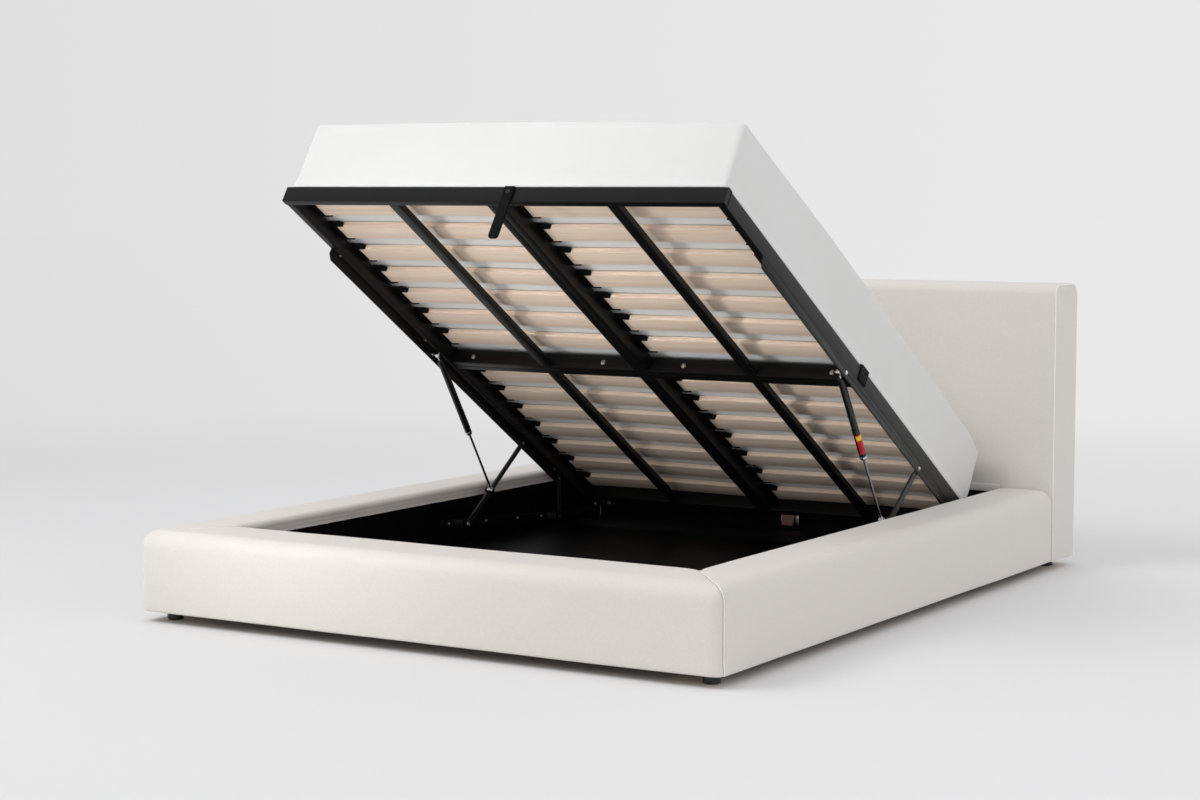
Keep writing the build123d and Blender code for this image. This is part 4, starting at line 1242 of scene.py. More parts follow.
# ---------------------------------------------------------------- storage space and feet
@dataclass
class StorageSpace(SubAssembly):
    """The lined box in the base, its floor, its corner angles and the feet under it."""

    wall_x: float = 0.7944
    foot_wall: float = -1.0352
    head_wall: float = 1.0562
    low: float = 0.0605
    high: float = 0.2275
    head_high: float = 0.2550
    floor: float = 0.0672
    cloth: float = 0.0010
    cloth_half: float = 0.793
    cloth_foot: float = -1.0343
    cloth_length: float = 2.0898
    cloth_slack: float = 0.0102
    cloth_rows: int = 105
    cloth_columns: int = 80
    flat_x: float = 0.79
    flat_foot: float = -1.036
    flat_head: float = 1.056
    flat_rim: float = 0.05
    flat_head_rim: float = 0.04
    fold_head: float = 1.05
    fold_reach: float = 0.28
    fold_rise: float = 0.009
    fine_rise: float = 0.003
    floor_rise: float = 0.0016
    wall_step: float = 0.02
    wall_rows: int = 9
    wall_wave: float = 0.0009
    foot_x: float = 0.9125
    foot_y: float = 1.1755
    angle_x: float = 0.789
    angle_ends: Pair = (-1.034, 1.055)
    angle_thickness: float = 0.004
    bolt_x: float = 0.751
    bolt_in: float = 0.042
    bolt_z: float = 0.113

    def wall(self, name: str, start: Point, end: Point, high: float, seed: float) -> Piece:
        """Hang one wall of the lining between two points on the floor, with a few soft folds."""
        first, last = Vector(start), Vector(end)
        along = (last - first).normalized()
        facing = Vector((-along.y, along.x, 0))
        length = (last - first).length
        rings = []
        for i in range(round(length / self.wall_step) + 1):
            spot = first + along * min(length, i * self.wall_step)
            ring = []
            for j in range(self.wall_rows + 1):
                height = (high - self.low) * j / self.wall_rows
                loose = math.sin(math.pi * j / self.wall_rows)
                wave = self.wall_wave * loose * wrinkle(Vector((spot.x, spot.y, height)), 0.09, seed)
                ring.append(spot + facing * wave + Vector((0, 0, height)))
            rings.append(ring)
        piece = Bench.skin(name, rings, closed=False, capped=False)
        Bench.modify(piece, "SOLIDIFY", thickness=self.cloth, offset=0.0)
        return Bench.smooth(piece, 60)

    def lining(self) -> None:
        """Hang the four walls of the lining."""
        x, foot, head = self.wall_x, self.foot_wall, self.head_wall
        walls = {
            "lining_right": ((x, foot, self.low), (x, head, self.low), self.high),
            "lining_left": ((-x, head, self.low), (-x, foot, self.low), self.high),
            "lining_foot": ((-x, foot, self.low), (x, foot, self.low), self.high),
            "lining_head": ((0.79, head, self.low), (-0.79, head, self.low), self.head_high),
        }
        for index, (name, (start, end, high)) in enumerate(walls.items()):
            piece = self.dress(self.wall(name, start, end, high, index), "base", "black_cloth", [LINING])
            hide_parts("storage_lining")

    def floor_cloth(self) -> Piece:
        """Lay the floor's cloth, with soft folds where it meets the headboard."""
        rings = []
        for i in range(self.cloth_rows + 1):
            y = self.cloth_foot + self.cloth_length * i / self.cloth_rows
            near = math.exp(-(self.fold_head - y) / self.fold_reach)
            ring = []
            for j in range(self.cloth_columns + 1):
                x = self.cloth_half * (2 * j / self.cloth_columns - 1)
                foot_in = (y - self.flat_foot) / self.flat_rim
                head_in = (self.flat_head - y) / self.flat_head_rim
                inside = min(1.0, (self.flat_x - abs(x)) / self.flat_rim, foot_in, head_in)
                fold = 0.5 + 0.5 * wrinkle(Vector((x, y * 2.4, 0)), 0.30, 4.0)
                fine = 0.5 + 0.5 * wrinkle(Vector((x * 1.4, y * 5.0, 0)), 0.12, 6.0)
                folds = near * (self.fold_rise * fold**2 + self.fine_rise * fine)
                rise = max(0.0, inside) * (self.floor_rise * fold + folds)
                ring.append(Vector((x, y, self.floor + rise)))
            rings.append(ring)
        piece = Bench.skin("floor_cloth", rings, closed=False, capped=False)
        Bench.modify(piece, "SOLIDIFY", thickness=self.cloth, offset=-1.0)
        return Bench.smooth(piece, 80)

    def feet(self) -> Piece:
        """Turn the four feet: glides with a narrower neck."""
        places = [(x, y, 0) for x in (-self.foot_x, self.foot_x) for y in (-self.foot_y, self.foot_y)]
        return Bench.join("feet_turned", [Bench.turned("foot", FOOT_PROFILE, place, UP) for place in places])

    def angle_bolts(self) -> Piece:
        """Screw the domed bolts into the four corner angles."""
        bolts = []
        for side in Side:
            for corner_y, inward in zip(self.angle_ends, (1, -1)):
                wall = (side.value * self.angle_x, corner_y + inward * self.bolt_in, self.bolt_z)
                across = (side.value * self.bolt_x, corner_y + inward * self.angle_thickness, self.bolt_z)
                for spot, facing in ((wall, (-side.value, 0, 0)), (across, (0, inward, 0))):
                    bolts.append(Bench.turned("bolt", ANGLE_BOLT_PROFILE, spot, facing))
        return Bench.join("corner_bolts_domed", bolts)

    def build(self) -> None:
        """Build and dress every piece of the storage space."""
        self.lining()
        cloth = self.dress(self.floor_cloth(), "base", "black_cloth", [LINING])
        self.dress(self.feet(), "base", "black_plastic", [GLOSS_PLASTIC], "feet")
        self.ease("centre_legs", "base", "black_steel", BLACK_STEEL, 0.001)
        self.ease("corner_angles", "base", "black_steel", BLACK_STEEL, 0.0006)
        self.dress(self.angle_bolts(), "base", "zinc", [ZINC], "corner_bolts")
        self.ease("rest_block", "base", "inner_timber", BEECH, 0.0012)
        self.ease("rest_block_clips", "base", "zinc", ZINC, 0.0005)
        for node in ("floor_panel_foot", "floor_panel_head"):
            self.repaint(node, CHIPBOARD)
        for node in ("floor_ledges", "floor_battens"):
            self.repaint(node, SOFTWOOD)


# ---------------------------------------------------------------- platform frame
@dataclass
class PlatformFrame(SubAssembly):
    """The lifting platform's tubes, the bolts that join its halves, its sleeves and pull strap."""

    places: LiftPlaces = LiftPlaces()
    half_width: float = 0.760
    side_outer: float = 0.757
    tube: float = 0.025
    depth: float = 0.050
    length: float = 2.030
    joint: float = 1.028
    centre_tube: float = 0.0265
    quarters: Pair = (-0.358, 0.396)
    quarter_half: float = 0.018
    quarter_depth: float = 0.020
    edge: float = 0.0022
    plug_rim: float = 0.0016
    plug_depth: float = 0.0012
    bolts_across: tuple[float, ...] = (-0.650, -0.146, 0.149, 0.668)
    bolt_below: float = 0.027
    shank: float = 0.004
    nut: float = 0.0065
    screw_spot: Point = (0.052, -0.0066, -0.020)
    strap_x: float = 0.052
    strap_half: float = 0.017
    strap_length: float = 0.178
    strap_round: float = 0.011
    strap_thickness: float = 0.002
    strap_gap: float = 0.002
    strap_back: float = 0.0003
    strap_top: float = -0.0012
    stitch_box: tuple[Pair, ...] = ((-0.012, -0.012), (0.012, -0.012), (0.012, -0.034), (-0.012, -0.034))
    stitch_face: float = -0.0064
    stitch_radius: float = 0.00035

    def tube_piece(self, name: str, x: Pair, y: Pair, top: float = 0.0) -> Piece:
        """Make one drawn tube: a bar with rounded long edges and a plugged, sunk end."""
        low = -self.depth
        piece = Bench.block(name, (x[0], y[0], low), (x[1], y[1], top))
        axis = Vector((1, 0, 0)) if x[1] - x[0] > y[1] - y[0] else Vector((0, 1, 0))
        Bench.bevel(piece, self.edge, 4, lambda middle, direction: abs(direction.dot(axis)) > 0.9)
        Bench.sink(piece, self.plug_rim, self.plug_depth, lambda middle, normal: abs(normal.dot(axis)) > 0.9)
        return piece

    def tubes(self, node: str, spans: list[tuple]) -> None:
        """Make the tubes of one node and set them on the raised platform."""
        pieces = [self.tube_piece(node + "_tube", *span) for span in spans]
        joined = Bench.join(node + "_drawn", pieces)
        Bench.moved(joined, self.places.platform)
        self.dress(Bench.smooth(joined), "platform", "black_steel", [BLACK_STEEL], node)

    def all_tubes(self) -> None:
        """Make every tube of the platform."""
        end, tube, joint = self.length, self.tube, self.joint
        outer, inner = self.side_outer, self.side_outer - self.tube
        spans = ((tube, joint - tube), (joint + tube, end - tube))
        sides = [(inner, outer), (-outer, -inner)]
        beams = [(0, self.centre_tube), (-self.centre_tube, 0)]
        shallow = [(x - self.quarter_half, x + self.quarter_half) for x in self.quarters]
        self.tubes("foot_bar", [((-self.half_width, self.half_width), (0, tube))])
        self.tubes("head_bar", [((-outer, outer), (end - tube, end))])
        self.tubes("side_bars_front", [(x, (tube, joint)) for x in sides])
        self.tubes("side_bars_rear", [(x, (joint, end - tube)) for x in sides])
        self.tubes("mid_bar_front", [((-inner, inner), (joint - tube, joint))])
        self.tubes("mid_bar_rear", [((-inner, inner), (joint, joint + tube))])
        self.tubes("centre_beams", [(x, span) for x in beams for span in spans])
        low_top = self.quarter_depth - self.depth
        self.tubes("quarter_bars", [(x, span, low_top) for x in shallow for span in spans])

    def mid_bolts(self) -> Piece:
        """Turn the bolts of the middle joint, with a washer, a domed socket head and a nut."""
        start, end = self.joint - self.tube, self.joint + self.tube
        bolts = []
        for x in self.bolts_across:
            near, far, last = [(x, y, -self.bolt_below) for y in (start, end, end + self.nut)]
            bolts.append(Bench.turned("bolt", MID_BOLT_PROFILE, near, (0, -1, 0)))
            shank = Bench.bar("shank", near, far, self.shank, SHANK_SIDES)
            nut = Bench.bar("nut", far, last, self.nut, NUT_SIDES)
            bolts += [Bench.smooth(shank), Bench.bevel(nut, NUT_EDGE, 2)]
        return Bench.moved(Bench.join("mid_bolts_turned", bolts), self.places.platform)

    def strap(self) -> Piece:
        """Fold the pull strap: two layers of webbing with a soft loop at the bottom."""
        thick, step = self.strap_thickness, 0.006
        rear = -self.strap_back - thick / 2
        front = -self.strap_back - thick * 1.5 - self.strap_gap
        bottom = -self.strap_length + 0.0035
        fold = bottom + 0.002
        top = Vector((rear, self.strap_top))
        line = [top, *run(top, (rear, fold), step)]
        line += arc(((rear + front) / 2, fold), (rear - front) / 2, 0, -180, 8)
        line += run(line[-1], (front, self.strap_top), step)
        rings = []
        for point in line:
            taper = 0.0008 * math.sin(math.pi * point.y / self.strap_length) ** 2
            turn = max(0.0, bottom + self.strap_round - point.y) / self.strap_round
            taper += self.strap_round * (1 - math.sqrt(max(0.0, 1 - min(1.0, turn) ** 2)))
            half = self.strap_half - 0.0004 - taper
            columns = [self.strap_x + share * half for share in (-1, -0.97, -0.6, -0.2, 0.2, 0.6, 0.97, 1)]
            rings.append([Vector((x, point.x, point.y)) for x in columns])
        piece = Bench.skin("pull_strap_webbing", rings, closed=False, capped=False)
        Bench.modify(piece, "SOLIDIFY", thickness=0.0017, offset=0.0)
        return Bench.smooth(Bench.moved(piece, self.places.platform), SOFT_ANGLE)

    def strap_stitches(self) -> Piece:
        """Sew the cross of stitches that closes the strap's loop."""
        spots = [Vector((self.strap_x + x, self.stitch_face, z)) for x, z in self.stitch_box]
        ends = zip(spots, spots[1:] + spots[:1])
        rows = [Bench.piping("strap_stitch", [*pair], self.stitch_radius, 1) for pair in ends]
        return Bench.moved(Bench.join("strap_stitches", rows), self.places.platform)

    def strap_screw(self) -> Piece:
        """Turn the screw that holds the strap, with a domed washer head."""
        piece = Bench.turned("strap_screw_turned", STRAP_SCREW_PROFILE, self.screw_spot, (0, 1, 0))
        return Bench.moved(piece, self.places.platform)

    def build(self) -> None:
        """Build and dress every piece of the frame."""
        self.all_tubes()
        self.dress(self.mid_bolts(), "platform", "zinc", [ZINC], "mid_bolts")
        self.ease("joint_sleeves", "platform", "black_plastic", PLASTIC, 0.0007)
        self.dress(self.strap_screw(), "platform", "zinc", [DARK_STEEL], "strap_screw")
        strap = self.dress(self.strap(), "pull_strap", "webbing", [STRAP_WEB], "pull_strap")
        self.dress(self.strap_stitches(), "pull_strap", "webbing", [PLASTIC])


# ---------------------------------------------------------------- slats
@dataclass
class SlatDeck(SubAssembly):
    """The sprung slats and their holders."""

    places: LiftPlaces = LiftPlaces()
    inner: float = 0.030
    outer: float = 0.7285
    width: float = 0.070
    low: float = -0.008
    high: float = 0.008
    bow: float = 0.003
    front_start: float = 0.082
    rear_start: float = 1.142
    front_pitch: float = 0.133
    rear_pitch: float = 0.1315
    count: int = 7
    ease_width: float = 0.0012
    cuts: int = 15
    grain_shift: float = 3.7

    def model(self) -> Piece:
        """Model one slat: a bar with eased long edges, divided along its length and bowed."""
        slat = Bench.block("slat", (self.inner, 0, self.low), (self.outer, self.width, self.high))
        Bench.bevel(slat, self.ease_width, 2, lambda middle, direction: abs(direction.x) > 0.9)
        Bench.pick(slat, Domain.EDGE, lambda middle, direction: abs(direction.x) > 0.9)
        bpy.ops.mesh.subdivide(number_cuts=self.cuts)
        bpy.ops.object.mode_set(mode="OBJECT")
        middle, half = (self.inner + self.outer) / 2, (self.outer - self.inner) / 2
        for finish in (SLAT_FACE, SLAT_EDGE):
            slat.data.materials.append(finish.material())
        chart = slat.data.uv_layers.new(name=GRAIN_MAP)
        flat = [vertex.co.copy() for vertex in slat.data.vertices]
        for face in slat.data.polygons:
            on_edge = abs(face.normal.z) < 0.8
            face.material_index = 1 if on_edge else 0
            for loop in face.loop_indices:
                point = flat[slat.data.loops[loop].vertex_index]
                chart.data[loop].uv = (point.x, point.z - self.low if on_edge else point.y)
        for vertex in slat.data.vertices:
            vertex.co.z += self.bow * (1 - ((vertex.co.x - middle) / half) ** 2)
        return Bench.smooth(slat)

    def column(self, name: str, start: float, pitch: float, seed: int) -> Piece:
        """Lay the slats of one half of the platform, each with its own stretch of grain."""
        model = self.model()
        copies = []
        for index in range(self.count):
            for side in Side:
                slat = Bench.copy(model, "slat_copy", Matrix.Translation((0, start + index * pitch, 0)))
                if side is Side.LEFT:
                    Bench.crossed(slat)
                shift = (seed + index * 2 + (side.value + 1) / 2) * self.grain_shift
                for corner in slat.data.uv_layers[GRAIN_MAP].data:
                    corner.uv = (corner.uv[0] + shift, corner.uv[1])
                copies.append(slat)
        bpy.data.objects.remove(model)
        return Bench.moved(Bench.join(name, copies), self.places.platform)

    def build(self) -> None:
        """Build and dress the slats and holders."""
        finishes = [SLAT_FACE, SLAT_EDGE]
        front = self.column("slats_front_bowed", self.front_start, self.front_pitch, 1)
        self.dress(front, "platform", "birch_slat", finishes, "slats_front")
        rear = self.column("slats_rear_bowed", self.rear_start, self.rear_pitch, 40)
        self.dress(rear, "platform", "birch_slat", finishes, "slats_rear")
        self.ease("slat_holders", "platform", "black_plastic", PLASTIC, 0.0006)


# ---------------------------------------------------------------- mattress
@dataclass
class Mattress(SubAssembly):
    """The mattress, swollen by one cloth simulation from a slightly smaller start."""

    places: LiftPlaces = LiftPlaces()
    half_width: float = 0.757
    foot: float = -0.001
    length: float = 2.003
    low: float = 0.0117
    high: float = 0.2400
    rim: float = 0.013
    rim_low: float = 0.0012
    plan_radius: float = 0.022
    top_radius: float = 0.017
    head_radius: float = 0.048
    slump_reach: float = 0.11
    low_radius: float = 0.003
    step: float = 0.024
    start_inset: float = 0.003
    skirt: float = 0.004
    droop: float = 0.018
    droop_reach: float = 0.40
    sleeve: Pair = (1.003, 1.063)
    sleeve_top: float = 0.008
    wave: float = 0.0016
    near: tuple[float, ...] = (0.0, 0.0035, 0.0050, 0.010, 0.016, 0.024, 0.034, 0.047)

    def floor(self, a: float, y: float) -> float:
        """Give the underside's height: the skin hangs outside the slat holders and over the foot bar.

        Args:
            a: Distance in from the nearer long side.
            y: Distance from the platform's foot edge.

        Returns:
            The height over the platform's top plane.
        """
        if a < self.skirt or y < self.foot + self.rim:
            return self.sleeve_top if self.sleeve[0] < y < self.sleeve[1] else self.rim_low
        return self.low + 0.001

    def grid(self, low: float, high: float, marks: tuple[float, ...] = ()) -> list[float]:
        """Give places from low to high, closer together at both ends, with any marks added."""
        near, last = self.near, self.near[-1]
        span = high - low - 2 * last
        count = max(1, round(span / self.step))
        inner = [low + last + span * i / count for i in range(1, count)]
        clear = [place for place in inner if all(abs(place - mark) > 0.005 for mark in marks)]
        tail = [high - place for place in reversed(near)]
        return [low + place for place in near] + sorted([*clear, *marks]) + tail

    def corner_droop(self, x: float, y: float) -> float:
        """Give how far the top sinks towards the right foot corner, where the filling is softest."""
        return self.droop * max(0.0, x / self.half_width) ** 1.5 * math.exp(-((y / self.droop_reach) ** 2))

    def shaped(self, x: float, y: float, z: float) -> Vector:
        """Move a point of the square block onto the rounded mattress."""
        inset = self.start_inset
        half, start, end = self.half_width - inset, self.foot + inset, self.foot + self.length - inset
        a = half - abs(x)
        b = min(y - start, end - y)
        edge = min(a, b)
        floor = self.floor(a, y)
        rise, fall = self.high - inset - z, z - self.low - 0.001
        if rise < fall:
            slump = max(0.0, 1 - (end - y) / self.slump_reach)
            radius = self.top_radius + (self.head_radius - self.top_radius) * slump
            edge, rise = rounded(edge, rise, radius)
            z = self.high - inset - rise - self.corner_droop(x, y)
        else:
            edge, fall = rounded(edge, fall, self.low_radius)
            z = floor + fall * (self.high - floor) / (self.high - self.low)
        a, b = rounded(max(a, edge), max(b, edge), self.plan_radius)
        y = start + b if y - start < end - y else end - b
        return Vector((math.copysign(half - a, x), y, z))

    def body(self) -> Piece:
        """Build the mattress as a closed skin over a box of points."""
        inset = self.start_inset
        xs = self.grid(-self.half_width + inset, self.half_width - inset)
        ends = self.sleeve
        marks = (ends[0] - 0.002, ends[0] + 0.001, ends[1] - 0.001, ends[1] + 0.002)
        ys = self.grid(self.foot + inset, self.foot + self.length - inset, marks)
        zs = self.grid(self.low + 0.001, self.high - inset)
        index: dict[Step, int] = {}
        points, faces = [], []

        def corner(i: int, j: int, k: int) -> int:
            """Give the number of a grid point, adding it the first time."""
            if (i, j, k) not in index:
                index[i, j, k] = len(points)
                points.append(self.shaped(xs[i], ys[j], zs[k]))
            return index[i, j, k]

        def quad(spot: Step, first: Step, second: Step) -> None:
            """Add the face that spans a step in each of two directions from a grid point."""
            steps = ((0, 0, 0), first, [a + b for a, b in zip(first, second)], second)
            faces.append([corner(*[a + b for a, b in zip(spot, step)]) for step in steps])

        along_x, along_y, along_z = (1, 0, 0), (0, 1, 0), (0, 0, 1)
        last_x, last_y, last_z = len(xs) - 1, len(ys) - 1, len(zs) - 1
        for i, j, k in product(range(last_x), range(last_y), (0, last_z)):
            quad((i, j, k), along_x, along_y)
        for k in range(last_z):
            for i, j in product(range(last_x), (0, last_y)):
                quad((i, j, k), along_x, along_z)
            for j, i in product(range(last_y), (0, last_x)):
                quad((i, j, k), along_y, along_z)
        mesh = bpy.data.meshes.new("mattress_body")
        mesh.from_pydata(points, [], faces)
        return Bench.outwards(Bench.placed("mattress_sewn", mesh))

    def build(self) -> None:
        """Build, swell and dress the mattress."""
        piece = self.body()
        pinned = [v.index for v in piece.data.vertices if v.co.z < self.low + 0.006]
        ClothPass(pressure=3.0, cap=0.005).swell(piece, pinned)
        LOG.info("the mattress is swollen")
        for vertex in piece.data.vertices:
            vertex.co += vertex.normal * self.wave * wrinkle(vertex.co, 0.22, 12.0)
            vertex.co.z = max(vertex.co.z, self.rim_low - 0.0005)
        Bench.smooth(piece, 180)
        Bench.moved(piece, self.places.platform)
        self.dress(piece, "platform", "mattress_cloth", [JERSEY], "mattress")


# ---------------------------------------------------------------- lift mechanism
@dataclass
class LiftMechanism(SubAssembly):
    """Base brackets, links, gas springs, top rails and the pivots between them."""

    places: LiftPlaces = LiftPlaces()
    spring_x: float = 0.732
    link_inner: float = 0.7502
    ear_outer: float = 0.758
    side_outer: float = 0.757
    flange_inner: float = 0.754
    stud_end: float = 0.7459
    cylinder_start: float = 0.022
    cylinder_end: float = 0.318
    cylinder_radius: float = 0.0112
    rear_shank: float = 0.7540
    nut_radius: float = 0.007
    shank_radius: float = 0.004
    upper_nut: float = 0.0035
    upper_end: float = 0.0032
    lower_nut: float = 0.0065
    clearance: float = 0.0003
    ball_radius: float = 0.0065
    label_span: Pair = (0.232, 0.306)
    label_angle: float = 88
    label_patch: Pair = (0.004, 0.022)
    film: float = 0.0003
    screw_x: float = 0.789
    screws_along: tuple[float, ...] = (-0.056, 0.168, 0.366, 0.520)
    left_label_turn: float = -60

    @property
    def spring_length(self) -> float:
        """Distance between the gas spring's balls."""
        upper, lower = self.places.spring_ends
        return (lower - upper).length

    def rivets(self) -> Piece:
        """Turn the upper pivots: a domed head outside, a shank and a nut inside."""
        places = self.places
        inner = self.link_inner - self.clearance
        pieces = []
        for along in (places.front_along, places.rear_along):
            spot = (along, -places.pivot_below)
            profile = [*RIVET_PROFILE, (self.shank_radius, -0.0071)]
            pieces.append(Bench.turned("rivet", profile, (self.side_outer, *spot), RIGHTWARD))
            nut_face, end_face = inner - self.upper_nut, inner - self.upper_end
            nut = Bench.bar("nut", (nut_face, *spot), (inner, *spot), self.nut_radius, NUT_SIDES)
            end = Bench.bar("end", (end_face, *spot), (inner, *spot), self.shank_radius, SHANK_SIDES)
            pieces += [Bench.smooth(Bench.bevel(nut, NUT_EDGE, 2)), end]
        right = Bench.moved(Bench.join("right", pieces), places.platform)
        return Bench.paired("upper_pivots_turned", right)

    def lower_pivots(self) -> Piece:
        """Turn the lower pivots: whole at the front links, nut and shank at the rear ones."""
        head_end, outer = self.link_inner - self.clearance, self.ear_outer
        pieces = []
        for along, whole in ((0.0, True), (self.places.pivot_spread, False)):
            spot = (along, 0)
            start, last = head_end if whole else self.rear_shank, outer + self.lower_nut
            shank = Bench.bar("shank", (start, *spot), (outer, *spot), self.shank_radius, SHANK_SIDES)
            nut = Bench.bar("nut", (outer, *spot), (last, *spot), self.nut_radius, NUT_SIDES)
            pieces += [Bench.smooth(shank), Bench.smooth(Bench.bevel(nut, 0.0007, 2))]
            if whole:
                pieces.append(Bench.turned("head", PIVOT_HEAD_PROFILE, (head_end, *spot), (-1, 0, 0)))
        right = Bench.moved(Bench.join("right", pieces), self.places.bracket)
        return Bench.paired("lower_pivots_turned", right)

    def ball_stud(self, name: str, face: float) -> Piece:
        """Turn a ball stud at the origin of the springs' plane, with its collar against a face."""
        reach, radius = face - self.spring_x, self.ball_radius
        turns = [math.radians(degrees) for degrees in range(0, 145, 12)]
        profile = [(radius * math.sin(turn), -radius * math.cos(turn)) for turn in turns]
        profile += [(0.0038, radius), (0.004, reach - 0.003), (0.0066, reach - 0.003)]
        profile += [(0.007, reach - 0.0024), (0.007, reach - 0.0004), (0.0066, reach), (0, reach)]
        return Bench.turned(name, profile, (self.spring_x, 0, 0), RIGHTWARD)

    def upper_studs(self) -> Piece:
        """Turn the springs' upper ball studs, riveted through the top rails."""
        stud = self.ball_stud("stud", self.flange_inner)
        profile = [*RIVET_PROFILE, (self.shank_radius, -0.003)]
        rivet = Bench.turned("rivet", profile, (self.side_outer, 0, 0), RIGHTWARD)
        right = Bench.join("right", [stud, rivet])
        place = Matrix.Translation((0, self.places.spring_top_along, -self.places.spring_top_below))
        return Bench.paired("upper_ball_studs_turned", Bench.moved(right, self.places.platform @ place))

    def socket(self, name: str, toward: float) -> list[Piece]:
        """Turn a ball socket at the origin, open towards its stud, with its neck along the spring."""
        spot = (self.spring_x, 0, 0)
        cup = Bench.turned(name, SOCKET_CUP_PROFILE, spot, RIGHTWARD)
        return [cup, Bench.turned(name + "_neck", SOCKET_NECK_PROFILE, spot, (0, toward, 0))]

    def cylinder(self) -> Piece:
        """Turn the gas cylinder: a seamless tube with a rolled shoulder, and its socket."""
        r, start, end = self.cylinder_radius, self.cylinder_start, self.cylinder_end
        profile = [(0, start), (r - 0.004, start), (r - 0.0012, start + 0.0012), (r, start + 0.005)]
        profile += [(r, end - 0.0006), (r - 0.0006, end), (r - 0.0015, end)]
        profile += [(r - 0.0015, start + 0.012), (0, start + 0.012)]
        tube = Bench.turned("tube", profile, (self.spring_x, 0, 0), (0, 1, 0))
        piece = Bench.join("gas_cylinder_turned_right", [tube, *self.socket("cylinder_socket", 1)])
        for face in piece.data.polygons:
            face.material_index = 1 if face.center.y < start - 0.0004 else 0
        return Bench.moved(piece, self.places.spring)

    def collar(self) -> Piece:
        """Turn the guide collar: a chromed ring with a black tapered tip."""
        end = self.cylinder_end
        profile = [(radius, end + along) for radius, along in COLLAR_PROFILE]
        piece = Bench.turned("cylinder_collar_turned_right", profile, (self.spring_x, 0, 0), (0, 1, 0))
        for face in piece.data.polygons:
            face.material_index = 1 if face.center.y > end + 0.0078 else 0
        return Bench.moved(piece, self.places.spring)

    def label(self) -> Piece:
        """Wrap the plain label: a red film with a yellow patch at its upper end."""
        start, end = self.label_span
        reach = self.cylinder_radius + 0.00025
        turns = [math.radians(self.label_angle * (2 * j / 20 - 1)) for j in range(21)]
        rings = []
        for i in range(32):
            y = start + (end - start) * i / 31
            ring = [(self.spring_x + reach * math.cos(turn), y, reach * math.sin(turn)) for turn in turns]
            rings.append([Vector(point) for point in ring])
        piece = Bench.skin("cylinder_label_film_right", rings, closed=False, capped=False)
        first, last = self.label_patch
        for face in piece.data.polygons:
            face.material_index = 1 if first < face.center.y - start < last else 0
        Bench.modify(piece, "SOLIDIFY", thickness=self.film, offset=0.0)
        return Bench.smooth(Bench.moved(piece, self.places.spring), 60)

    def rod(self) -> Piece:
        """Turn the ground rod with its piston, and its lower socket."""
        length, end = self.spring_length, self.spring_length - 0.0218
        start = self.cylinder_end - 0.020
        profile = [(0, start), (0.0078, start), (0.0082, start + 0.001), (0.0082, start + 0.011)]
        profile += [(0.004, start + 0.012), (0.004, end), (0, end)]
        rod = Bench.turned("rod", profile, (self.spring_x, 0, 0), (0, 1, 0))
        place = Matrix.Translation((0, length, 0))
        socket = [Bench.moved(piece, place) for piece in self.socket("rod_socket", -1)]
        for piece in socket:
            piece.data.materials.append(None)
        joined = Bench.join("gas_rod_turned_right", [rod, *socket])
        for face in joined.data.polygons:
            face.material_index = 1 if face.center.y > length - 0.0216 else 0
        return Bench.moved(joined, self.places.spring)

    def lower_stud(self) -> Piece:
        """Turn the ball stud in the rod's socket."""
        place = Matrix.Translation((0, self.spring_length, 0))
        stud = self.ball_stud("lower_ball_stud_turned_right", self.stud_end)
        return Bench.moved(stud, self.places.spring @ place)

    def bracket_screws(self) -> Piece:
        """Screw the pan-head screws into the base brackets."""
        spots = [(self.screw_x, along, 0) for along in self.screws_along]
        heads = [Bench.turned("screw", PAN_HEAD_PROFILE, spot, (-1, 0, 0)) for spot in spots]
        right = Bench.moved(Bench.join("right", heads), self.places.bracket)
        return Bench.paired("base_bracket_screws_turned", right)

    def around_spring(self, degrees: float) -> Matrix:
        """Give a turn about the right spring's own axis."""
        axis = self.places.spring @ Matrix.Translation((self.spring_x, 0, 0))
        return axis @ Matrix.Rotation(math.radians(degrees), 4, "Y") @ axis.inverted()

    def both(self, right: Piece, body: str, slot: str, finishes: list[Finish], node: str) -> None:
        """Dress a right-hand piece and its mirrored twin."""
        left = Bench.mirror(right, right.name.replace("_right", "_left"))
        self.dress(right, f"{body}_right", slot, finishes, node + "_right")
        self.dress(left, f"{body}_left", slot, finishes, node + "_left")

    def build(self) -> None:
        """Build and dress every piece of the mechanism."""
        self.dress(self.rivets(), "platform", "zinc", [ZINC], "upper_pivots")
        self.dress(self.lower_pivots(), "base", "zinc", [ZINC], "lower_pivots")
        self.dress(self.upper_studs(), "platform", "chrome", [CHROME], "upper_ball_studs")
        self.dress(self.bracket_screws(), "base", "zinc", [ZINC], "base_bracket_screws")
        self.both(self.cylinder(), "spring_cylinder", "black_steel", [GAS_PAINT, CHROME], "gas_cylinder")
        self.both(self.collar(), "spring_cylinder", "chrome", [CHROME, GLOSS_PLASTIC], "cylinder_collar")
        film = self.label()
        left = Bench.copy(film, "cylinder_label_film_left", self.around_spring(self.left_label_turn))
        for piece, side in ((film, Side.RIGHT), (Bench.crossed(left), Side.LEFT)):
            body, node = "spring_cylinder_" + side.word, "cylinder_label_" + side.word
            self.dress(piece, body, "label_print", [RED_FILM, YELLOW_FILM], node)
        self.both(self.rod(), "spring_rod", "chrome", [ROD_STEEL, CHROME], "gas_rod")
        self.both(self.lower_stud(), "spring_rod", "chrome", [CHROME], "lower_ball_stud")
        self.ease("top_rail_bolts", "platform", "zinc", ZINC, 0.0005)
        for side in Side:
            self.ease("top_rail_" + side.word, "platform", "black_steel", BLACK_STEEL, 0.0005)
            self.ease("base_bracket_" + side.word, "base", "black_steel", BLACK_STEEL, 0.0005)
            for node in ("front_link_", "rear_link_"):
                self.ease(node + side.word, node + side.word, "black_steel", LINK_STEEL, 0.0005)


